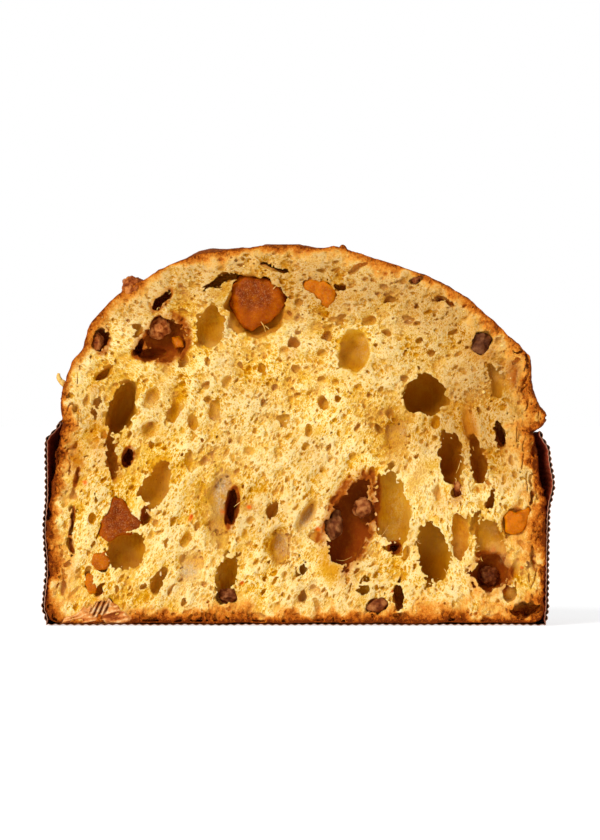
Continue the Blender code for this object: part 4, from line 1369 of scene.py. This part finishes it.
fruit_pieces = []
for number, (outline, row) in enumerate(zip(PEEL_OUTLINES, PEEL_DEPTHS), start=1):
    ball_points, ball_faces = FINE_BALL if number in (1, 2) else PLAIN_BALL
    points = peel_points(ball_points, outline, *row, number)
    frost = smooth(0.75, 0.98, -squared_ball(ball_points, 4.0)[1])
    if number == 1:
        frost *= 1 - smooth(0.75, 1.15, np.hypot((points[:, 0] + 13.3) / 6.2, (points[:, 2] - 104.8) / 5.4))
    piece = build_mesh(f"candied_piece_{number}", points, [ball_faces], {"frost": frost, "glow": np.full(len(points), PEEL_GLOW[number - 1])})
    fruit_pieces.append((piece, f"candied_fruit_{number}", "candied_fruit"))
for number, row in enumerate(RAISINS, start=1):
    ball_points, ball_faces = PLAIN_BALL
    points, ridges = raisin_points(ball_points, row, number)
    piece = build_mesh(f"raisin_piece_{number}", points, [ball_faces], {"ridge_light_and_shade": ridges, "warm": np.full(len(points), RAISIN_WARMTH[number - 1])})
    fruit_pieces.append((piece, f"raisin_{number}", "raisin"))
print("pieces of fruit:", len(fruit_pieces))

# %% [markdown]
# ## Helpers for materials
# Every finish below is made of nodes. These helpers keep each finish short: one adds a node
# and links what it is given, and the others stand for the sums, ramps and blends used most.

# %% Node helpers
def colour(red, green, blue):
    """A screen colour, 0 to 255 a channel, as Blender's linear values."""
    values = [channel / 255 for channel in (red, green, blue)]
    return (*(v / 12.92 if v <= 0.04045 else ((v + 0.055) / 1.055) ** 2.4 for v in values), 1.0)


def node(tree, kind, inputs=None, **settings):
    """Add a node. Inputs are numbers, colours or the outputs of other nodes."""
    made = tree.nodes.new(kind)
    for name, value in settings.items():
        setattr(made, name, value)
    for name, value in (inputs or {}).items():
        if isinstance(value, bpy.types.NodeSocket):
            tree.links.new(value, made.inputs[name])
        else:
            made.inputs[name].default_value = value
    return made


def maths(tree, operation, first, second=0.5, third=0.0, clamp=False):
    inputs = {0: first, 1: second, 2: third}
    return node(tree, "ShaderNodeMath", inputs, operation=operation, use_clamp=clamp).outputs[0]


def fact(tree, name):
    """One of the facts that were stored at the mesh's points."""
    return node(tree, "ShaderNodeAttribute", attribute_name=name).outputs["Fac"]


def ramp(tree, factor, stops):
    made = node(tree, "ShaderNodeValToRGB", {"Fac": factor})
    elements = made.color_ramp.elements
    while len(elements) < len(stops):
        elements.new(0.5)
    for element, (position, value) in zip(elements, stops):
        element.position = position
        element.color = value if isinstance(value, tuple) else (value, value, value, 1.0)
    return made.outputs["Color"]


def blend(tree, factor, first, second, kind="MIX"):
    made = node(tree, "ShaderNodeMix", {0: factor, 6: first, 7: second}, data_type="RGBA", blend_type=kind)
    return made.outputs[2]


def grain(tree, size, detail=2.0, roughness=0.5, stretch=(1, 1, 1)):
    """Noise whose lumps are about size millimetres."""
    place = node(tree, "ShaderNodeTexCoord").outputs["Object"]
    if stretch != (1, 1, 1):
        place = node(tree, "ShaderNodeMapping", {"Vector": place, "Scale": stretch}).outputs[0]
    inputs = {"Vector": place, "Scale": 1000 / size, "Detail": detail, "Roughness": roughness}
    return node(tree, "ShaderNodeTexNoise", inputs).outputs["Fac"]


def bump(tree, height, distance, strength=1.0):
    """Turn a grey pattern into relief. Distance is in millimetres."""
    inputs = {"Height": height, "Distance": distance * MM, "Strength": strength}
    return node(tree, "ShaderNodeBump", inputs).outputs[0]


def new_material(name, **sockets):
    material = bpy.data.materials.new(name)
    material.use_nodes = True
    shader = material.node_tree.nodes["Principled BSDF"]
    for socket, value in sockets.items():
        shader.inputs[socket.replace("_", " ")].default_value = value
    return material, material.node_tree, shader


def plug(tree, shader, **links):
    for socket, value in links.items():
        tree.links.new(value, shader.inputs[socket.replace("_", " ")])


# %% [markdown]
# ## Crumb and crust
# One finish serves the whole loaf, so crumb runs into crust as it does in the oven. The
# ramps read the facts from above: ridges painted cream as if lit, golden pits and ochre
# pockets as painted shade, brown stains round the fruit, and the browned skin.

# %% The bread's finish
def foam_pattern(tree, size):
    """Two grey patterns of fine sponge: pores about size millimetres apart, and pale rims between them."""
    flow = {"X": fact(tree, "stream_x"), "Y": fact(tree, "depth"), "Z": fact(tree, "stream_z")}
    place = node(tree, "ShaderNodeCombineXYZ", flow).outputs[0]
    place = node(tree, "ShaderNodeVectorMath", {0: place, "Scale": 0.001}, operation="SCALE").outputs[0]
    wobble = node(tree, "ShaderNodeTexNoise", {"Vector": place, "Scale": 900 / size, "Detail": 2.0}).outputs["Color"]
    shift = node(tree, "ShaderNodeVectorMath", {0: wobble, 1: (0.5, 0.5, 0.5)}, operation="SUBTRACT").outputs[0]
    shift = node(tree, "ShaderNodeVectorMath", {0: shift, "Scale": 0.0011 * size}, operation="SCALE").outputs[0]
    place = node(tree, "ShaderNodeVectorMath", {0: place, 1: shift}, operation="ADD").outputs[0]
    cells = node(tree, "ShaderNodeTexVoronoi", {"Vector": place, "Scale": 1000 / size})
    edges = node(tree, "ShaderNodeTexVoronoi", {"Vector": place, "Scale": 1000 / size}, feature="DISTANCE_TO_EDGE")
    pores = ramp(tree, cells.outputs["Distance"], [(0.22, 1.0), (0.46, 0.0)])
    chosen = node(tree, "ShaderNodeSeparateColor", {0: cells.outputs["Color"]}).outputs[0]
    pores = maths(tree, "MULTIPLY", pores, ramp(tree, chosen, [(0.25, 0.0), (0.70, 1.0)]))
    return pores, ramp(tree, edges.outputs["Distance"], [(0.03, 1.0), (0.20, 0.0)])


def make_bread():
    material, tree, shader = new_material("bread", Roughness=0.8, Specular_IOR_Level=0.02, Subsurface_Weight=0.25, Subsurface_Scale=0.0008)
    shader.inputs["Subsurface Radius"].default_value = (1.0, 0.8, 0.2)
    foam = maths(tree, "SUBTRACT", 1.0, maths(tree, "MULTIPLY", fact(tree, "wall"), 0.6))
    wide_pores, wide_rims = foam_pattern(tree, 1.05)
    fine_pores, fine_rims = foam_pattern(tree, 0.58)
    # Painted shade: points deep behind the face or in a dish are painted more golden.
    behind = maths(tree, "MINIMUM", fact(tree, "behind"), 1.3)
    sunk = maths(tree, "MULTIPLY", maths(tree, "MINIMUM", fact(tree, "behind"), 4.5), 0.04)
    sunk = maths(tree, "MULTIPLY_ADD", fact(tree, "dish"), 0.22, sunk)
    # In the colour the pores are painted shade and their rims a painted highlight; the same pattern also makes the
    # bump.
    relief = maths(tree, "MULTIPLY_ADD", wide_pores, -0.50, maths(tree, "MULTIPLY", fine_pores, -0.40))
    relief = maths(tree, "ADD", relief, maths(tree, "MULTIPLY_ADD", wide_rims, 0.18, maths(tree, "MULTIPLY", fine_rims, 0.22)))
    relief = maths(tree, "MULTIPLY", relief, foam)
    speck = maths(tree, "SUBTRACT", grain(tree, 0.5, 3.0, 0.7), 0.5)
    pit = maths(tree, "MULTIPLY_ADD", behind, 0.32, maths(tree, "MULTIPLY_ADD", fact(tree, "pit_shade"), 0.6, -0.03))
    pit = maths(tree, "ADD", pit, sunk)
    pit = maths(tree, "MULTIPLY_ADD", relief, -1.0, maths(tree, "MULTIPLY_ADD", speck, 0.80, pit))
    # The crumb ramp paints ridges cream as if lit and pits golden as painted shade, over random specks.
    crumb = ramp(tree, pit, [
        (0.00, colour(248, 224, 158)), (0.16, colour(236, 195, 94)), (0.34, colour(224, 166, 26)),
        (0.56, colour(212, 146, 0)), (0.95, colour(190, 114, 0)),
    ])
    patch = ramp(tree, grain(tree, 11.0, 3.0, 0.6), [(0.42, 0.0), (0.66, 0.30)])
    crumb = blend(tree, patch, crumb, colour(236, 208, 150))
    golden = ramp(tree, grain(tree, 4.5, 3.0, 0.6), [(0.48, 0.0), (0.68, 0.45)])
    crumb = blend(tree, golden, crumb, colour(230, 180, 56))
    strands = ramp(tree, grain(tree, 0.7, 3.0, 0.7, (1, 1, 0.25)), [(0.40, 0.0), (0.62, 1.0)])
    strands = maths(tree, "MULTIPLY", strands, maths(tree, "MULTIPLY", fact(tree, "wall"), 0.45))
    crumb = blend(tree, strands, crumb, colour(226, 176, 50))
    veil = ramp(tree, grain(tree, 0.5, 3.0, 0.7), [(0.35, colour(176, 138, 70)), (0.65, colour(234, 218, 180))])
    patchy = ramp(tree, grain(tree, 1.6, 3.0, 0.7), [(0.40, 0.15), (0.58, 0.85)])
    crumb = blend(tree, maths(tree, "MULTIPLY", fact(tree, "film"), patchy), crumb, veil)
    dots = node(tree, "ShaderNodeTexVoronoi", {"Vector": node(tree, "ShaderNodeTexCoord").outputs["Object"], "Scale": 420.0})
    dots = ramp(tree, dots.outputs["Distance"], [(0.05, 0.75), (0.11, 0.0)])
    crumb = blend(tree, dots, crumb, colour(104, 66, 20))
    # Painted shade: darker towards the right and the crown, with random tone.
    crumb = blend(tree, maths(tree, "MULTIPLY", fact(tree, "side_shade_and_tone"), 0.8), crumb, colour(206, 178, 150), "MULTIPLY")
    # Painted shade: deep pocket walls are painted a deeper yellow.
    deep = maths(tree, "MULTIPLY", fact(tree, "wall"), ramp(tree, maths(tree, "MULTIPLY", fact(tree, "behind"), 0.2), [(0.2, 0.0), (0.9, 1.0)]))
    crumb = blend(tree, deep, crumb, colour(255, 248, 176), "MULTIPLY")
    mottle = maths(tree, "MULTIPLY_ADD", grain(tree, 1.6, 3.0, 0.6), 1.0, 0.5)
    stained = maths(tree, "MULTIPLY", fact(tree, "stain"), mottle, clamp=True)
    brown = ramp(tree, stained, [
        (0.0, colour(212, 150, 26)), (0.35, colour(196, 118, 20)), (0.7, colour(170, 88, 18)), (1.0, colour(134, 60, 12)),
    ])
    body = blend(tree, maths(tree, "MULTIPLY", stained, 1.25, clamp=True), crumb, brown)
    body = blend(tree, fact(tree, "zest"), body, colour(226, 104, 24))
    # Painted shade: deep pocket bottoms are painted dark ochre, red-brown where stained, the deepest near black.
    dark = blend(tree, stained, colour(146, 88, 0), colour(150, 58, 4))
    body = blend(tree, maths(tree, "MULTIPLY", fact(tree, "pocket_shade"), 0.85, clamp=True), body, dark)
    body = blend(tree, ramp(tree, fact(tree, "pocket_shade"), [(1.0, 0.0), (1.4, 0.75)]), body, colour(64, 26, 2))
    flake = maths(tree, "MULTIPLY_ADD", grain(tree, 0.9, 4.0, 0.75), 2.0, 0.0)
    baked = maths(tree, "MULTIPLY", fact(tree, "browning"), flake)
    skin_colour = ramp(tree, baked, [
        (0.10, colour(244, 200, 116)), (0.28, colour(232, 168, 72)), (0.50, colour(208, 126, 38)),
        (0.78, colour(176, 88, 16)), (1.05, colour(112, 46, 8)),
    ])
    cracks = ramp(tree, grain(tree, 1.4, 3.0, 0.65, (1.6, 1.6, 0.5)), [(0.36, 1.0), (0.44, 0.0)])
    cracks = maths(tree, "MULTIPLY", cracks, ramp(tree, baked, [(0.3, 0.0), (0.7, 0.8)]))
    skin_colour = blend(tree, cracks, skin_colour, colour(88, 32, 6))
    body = blend(tree, ramp(tree, baked, [(0.08, 0.0), (0.40, 1.0)]), body, skin_colour)
    outer = fact(tree, "outer")
    dome = maths(tree, "MULTIPLY_ADD", grain(tree, 9.0, 3.0, 0.6), 0.6, maths(tree, "MULTIPLY", grain(tree, 2.0, 4.0, 0.65), 0.4))
    glaze = ramp(tree, dome, [
        (0.36, colour(112, 54, 18)), (0.48, colour(152, 82, 32)), (0.58, colour(184, 110, 48)), (0.72, colour(210, 144, 76)),
    ])
    place = node(tree, "ShaderNodeTexCoord").outputs["Object"]
    rise = node(tree, "ShaderNodeSeparateXYZ", {0: place}).outputs[2]
    glaze = blend(tree, ramp(tree, rise, [(0.062, 0.0), (0.115, 0.5)]), glaze, colour(196, 150, 112), "MULTIPLY")
    body = blend(tree, outer, body, glaze)
    texture = maths(tree, "ADD", maths(tree, "MULTIPLY", grain(tree, 0.45, 2.0, 0.6), 0.5), grain(tree, 1.1, 3.0, 0.6))
    texture = maths(tree, "MULTIPLY_ADD", relief, 1.2, texture)
    rough, sheen = maths(tree, "MULTIPLY_ADD", outer, -0.3, 0.8), maths(tree, "MULTIPLY_ADD", outer, 0.10, 0.02)
    plug(tree, shader, Base_Color=body, Roughness=rough, Specular_IOR_Level=sheen, Normal=bump(tree, texture, 0.20, 0.6))
    return material


def make_torn(name, pale, golden, brown):
    """Loose bread: pale and golden, with no facts of its own."""
    material, tree, shader = new_material(name, Roughness=0.8, Specular_IOR_Level=0.02)
    shade = ramp(tree, grain(tree, 1.4, 3.0, 0.7), [(0.32, brown), (0.5, golden), (0.7, pale)])
    plug(tree, shader, Base_Color=shade, Normal=bump(tree, grain(tree, 0.4, 2.0, 0.6), 0.1, 0.7))
    return material


def make_fold():
    material, tree, shader = new_material("torn_crust", Roughness=0.55, Specular_IOR_Level=0.1)
    # Painted highlight on raised creases and ribs, painted shade below them.
    cloud = maths(tree, "MULTIPLY_ADD", grain(tree, 0.9, 4.0, 0.7), 0.7, maths(tree, "MULTIPLY", fact(tree, "ridge_light_and_shade"), 0.5))
    shade = ramp(tree, cloud, [
        (0.34, colour(130, 56, 8)), (0.50, colour(196, 110, 44)), (0.66, colour(224, 152, 78)), (0.85, colour(246, 208, 150)),
    ])
    # Painted shade in the hollow between the ribs.
    shade = blend(tree, fact(tree, "dark"), shade, colour(116, 48, 6))
    plug(tree, shader, Base_Color=shade, Normal=bump(tree, grain(tree, 0.5, 3.0, 0.7), 0.2, 0.8))
    return material


bread_finish = make_bread()
crumb_threads.data.materials.append(make_torn("crumb_thread", colour(240, 204, 128), colour(226, 176, 86), colour(196, 132, 44)))
loose_crumbs.data.materials.append(make_torn("loose_crumb", colour(250, 228, 168), colour(238, 198, 108), colour(206, 146, 46)))
crust_fold.data.materials.append(make_fold())
for strip in crumb_strips:
    strip.data.materials.append(bread_finish)
loaf_back.data.materials.append(bread_finish)

# %% [markdown]
# ## Case paper
# Baking paper for tall loaves is brown through, a little glossy outside and dark with fat
# inside. Cut or torn, it shows a paler grey-brown core.

# %% The paper's finishes
def make_paper(name, ground, dark, worn, gloss):
    material, tree, shader = new_material(name, Roughness=gloss, Specular_IOR_Level=0.25)
    fibre = grain(tree, 0.5, 3.0, 0.65, (0.5, 0.5, 4))
    cloud = grain(tree, 14.0, 3.0)
    shade = blend(tree, ramp(tree, cloud, [(0.35, 0.0), (0.7, 1.0)]), ground, dark)
    shade = blend(tree, ramp(tree, fibre, [(0.55, 0.0), (0.75, 0.45)]), shade, worn)
    plug(tree, shader, Base_Color=shade, Normal=bump(tree, fibre, 0.08, 0.6))
    return material


case_finish = make_paper("case_paper", colour(120, 70, 40), colour(94, 50, 28), colour(162, 112, 78), 0.6)
liner_finish = make_paper("liner_paper", colour(196, 78, 40), colour(160, 56, 26), colour(226, 150, 112), 0.45)
core_finish = make_paper("paper_core", colour(190, 142, 112), colour(136, 88, 64), colour(222, 190, 162), 0.8)


def core_on_cut(piece, finish, sectors_rows=None):
    """Give the faces that lie in the cut the paper's pale core."""
    piece.data.materials.append(finish)
    piece.data.materials.append(core_finish)
    limit = (CUT_Y + 0.02) * MM
    for face in piece.data.polygons:
        if all(piece.data.vertices[corner].co.y < limit for corner in face.vertices):
            face.material_index = 1


for piece, finish in ((case_outer, case_finish), (case_liner, liner_finish), (case_floor, case_finish)):
    core_on_cut(piece, finish)

# %% [markdown]
# ## Fruit finishes
# Light goes into candied peel and comes out amber, and dry sugar dusts its cut face. A
# raisin keeps its light on the skin; its colour paints shade in the folds and a grey highlight on the ridges.

# %% Peel and raisin
def make_peel():
    material, tree, shader = new_material(
        "candied_peel", Roughness=0.3, Specular_IOR_Level=0.05, Subsurface_Weight=0.35, Subsurface_Scale=0.002
    )
    shader.inputs["Subsurface Radius"].default_value = (1.0, 0.3, 0.05)
    cloud = maths(tree, "MULTIPLY_ADD", grain(tree, 2.4, 4.0, 0.7), 0.9, maths(tree, "MULTIPLY", fact(tree, "glow"), 0.5))
    cloud = maths(tree, "SUBTRACT", cloud, 0.2)
    amber = ramp(tree, cloud, [(0.26, colour(146, 60, 0)), (0.5, colour(172, 82, 0)), (0.80, colour(208, 118, 0))])
    frost = fact(tree, "frost")
    face = ramp(tree, cloud, [(0.26, colour(112, 40, 0)), (0.42, colour(138, 56, 0)), (0.80, colour(204, 110, 0))])
    shade = blend(tree, frost, amber, face)
    sugar = ramp(tree, grain(tree, 0.45, 2.0, 0.7), [(0.52, 0.0), (0.64, 1.0)])
    dusted = maths(tree, "MULTIPLY_ADD", frost, 0.34, 0.04)
    clear = maths(tree, "MULTIPLY_ADD", fact(tree, "glow"), -0.7, 1.2)
    sugar = maths(tree, "MULTIPLY", sugar, maths(tree, "MULTIPLY", dusted, clear))
    shade = blend(tree, sugar, shade, colour(200, 140, 84))
    rough = maths(tree, "MULTIPLY_ADD", frost, 0.25, 0.22)
    plug(tree, shader, Base_Color=shade, Roughness=rough, Normal=bump(tree, grain(tree, 0.7, 3.0, 0.65), 0.3, 0.9))
    return material


def make_raisin():
    material, tree, shader = new_material("raisin_skin", Roughness=0.5, Specular_IOR_Level=0.09)
    # Painted highlight on the ridges and painted shade in the folds.
    speck = maths(tree, "MULTIPLY_ADD", grain(tree, 1.0, 3.0, 0.65), 0.5, maths(tree, "MULTIPLY", fact(tree, "ridge_light_and_shade"), 0.22))
    cloud = maths(tree, "MULTIPLY_ADD", grain(tree, 2.4, 2.0, 0.6), 0.7, maths(tree, "SUBTRACT", speck, 0.11))
    dull = ramp(tree, cloud, [
        (0.28, colour(44, 18, 4)), (0.44, colour(78, 40, 18)), (0.62, colour(98, 56, 30)), (0.86, colour(126, 82, 52)),
    ])
    syrupy = ramp(tree, cloud, [
        (0.28, colour(66, 18, 2)), (0.44, colour(118, 46, 8)), (0.58, colour(158, 76, 22)), (0.76, colour(206, 128, 62)),
    ])
    shade = blend(tree, fact(tree, "warm"), dull, syrupy)
    plug(tree, shader, Base_Color=shade, Normal=bump(tree, grain(tree, 1.1, 3.0, 0.6), 0.5, 0.9))
    return material


peel_finish, raisin_finish = make_peel(), make_raisin()
for piece, plain_node, kind in fruit_pieces:
    piece.data.materials.append(peel_finish if kind == "candied_fruit" else raisin_finish)

# %% [markdown]
# ## Ride and replace
# The dressed pieces stand for the plain ones, which stay in the model for its weight and
# its contacts.

# %% Tie the pieces to the plain model
for piece in crumb_strips + [loaf_back, crumb_threads, loose_crumbs, crust_fold]:
    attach(piece, "root")
    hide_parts("loaf")
for piece in (case_outer, case_liner, case_floor):
    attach(piece, "root")
    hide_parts("paper_case")
for piece, plain_node, kind in fruit_pieces:
    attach(piece, "root")
    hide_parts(plain_node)

# %% [markdown]
# ## Floor, light and camera
# The loaf stands on a plain white floor in soft light, a little stronger from the left. The
# camera looks level and straight at the cut through a long lens, so that the face keeps its
# true shape.

# %% Studio floor
floor_mesh = bpy.data.meshes.new("studio_floor")
reach = 40.0
floor_mesh.from_pydata([(-reach, -reach, 0), (reach, -reach, 0), (reach, reach, 0), (-reach, reach, 0)], [], [(0, 1, 2, 3)])
studio_floor = bpy.data.objects.new("studio_floor", floor_mesh)
bpy.context.scene.collection.objects.link(studio_floor)
floor_finish, floor_tree, floor_shader = new_material("studio_white", Roughness=0.9)
floor_shader.inputs["Base Color"].default_value = (0.45, 0.45, 0.45, 1)
floor_shader.inputs["Emission Color"].default_value = (1, 1, 1, 1)
floor_shader.inputs["Emission Strength"].default_value = 0.72
floor_mesh.materials.append(floor_finish)
studio_floor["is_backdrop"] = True

# %% Soft light
world = bpy.data.worlds.new("studio")
world.use_nodes = True
sky = world.node_tree
direction = node(sky, "ShaderNodeTexCoord").outputs["Generated"]
climb = node(sky, "ShaderNodeSeparateXYZ", {0: direction}).outputs[2]
glow = ramp(sky, climb, [(0.10, 1.0), (0.30, 0.36)])
sky.links.new(glow, sky.nodes["Background"].inputs["Color"])
bpy.context.scene.world = world

sun = bpy.data.lights.new("window", "SUN")
sun.energy = 2.3
sun.angle = math.radians(25)
window_light = bpy.data.objects.new("window", sun)
towards_light = Vector((-0.62, -0.95, 0.75))
window_light.rotation_euler = towards_light.to_track_quat("Z", "Y").to_euler()
bpy.context.scene.collection.objects.link(window_light)

# %% Camera
PIXEL = 0.3156
VIEW_HEIGHT = 840 * PIXEL * MM
CAMERA_DISTANCE = 1.6
camera_data = bpy.data.cameras.new("camera")
camera_data.sensor_fit = "VERTICAL"
camera_data.sensor_height = 36
camera_data.lens = 36 * CAMERA_DISTANCE / VIEW_HEIGHT
camera = bpy.data.objects.new("camera", camera_data)
camera.location = ((300 - 297) * PIXEL * MM, CUT_Y * MM - CAMERA_DISTANCE, (626 - 420) * PIXEL * MM)
camera.rotation_euler = (math.pi / 2, 0, 0)
bpy.context.scene.collection.objects.link(camera)
bpy.context.scene.camera = camera
bpy.context.scene.view_settings.view_transform = "Standard"

# %% [markdown]
# ## Compare sizes and finish
# The dressed loaf has to be as large as the plain one. Both boxes are printed.

# %% Sizes and the end
dressed_low, dressed_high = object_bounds()
for title, low, high in (("plain", plain_low, plain_high), ("dressed", dressed_low, dressed_high)):
    print(title, "mm:", [round(1000 * value, 1) for value in (*low, *high)])
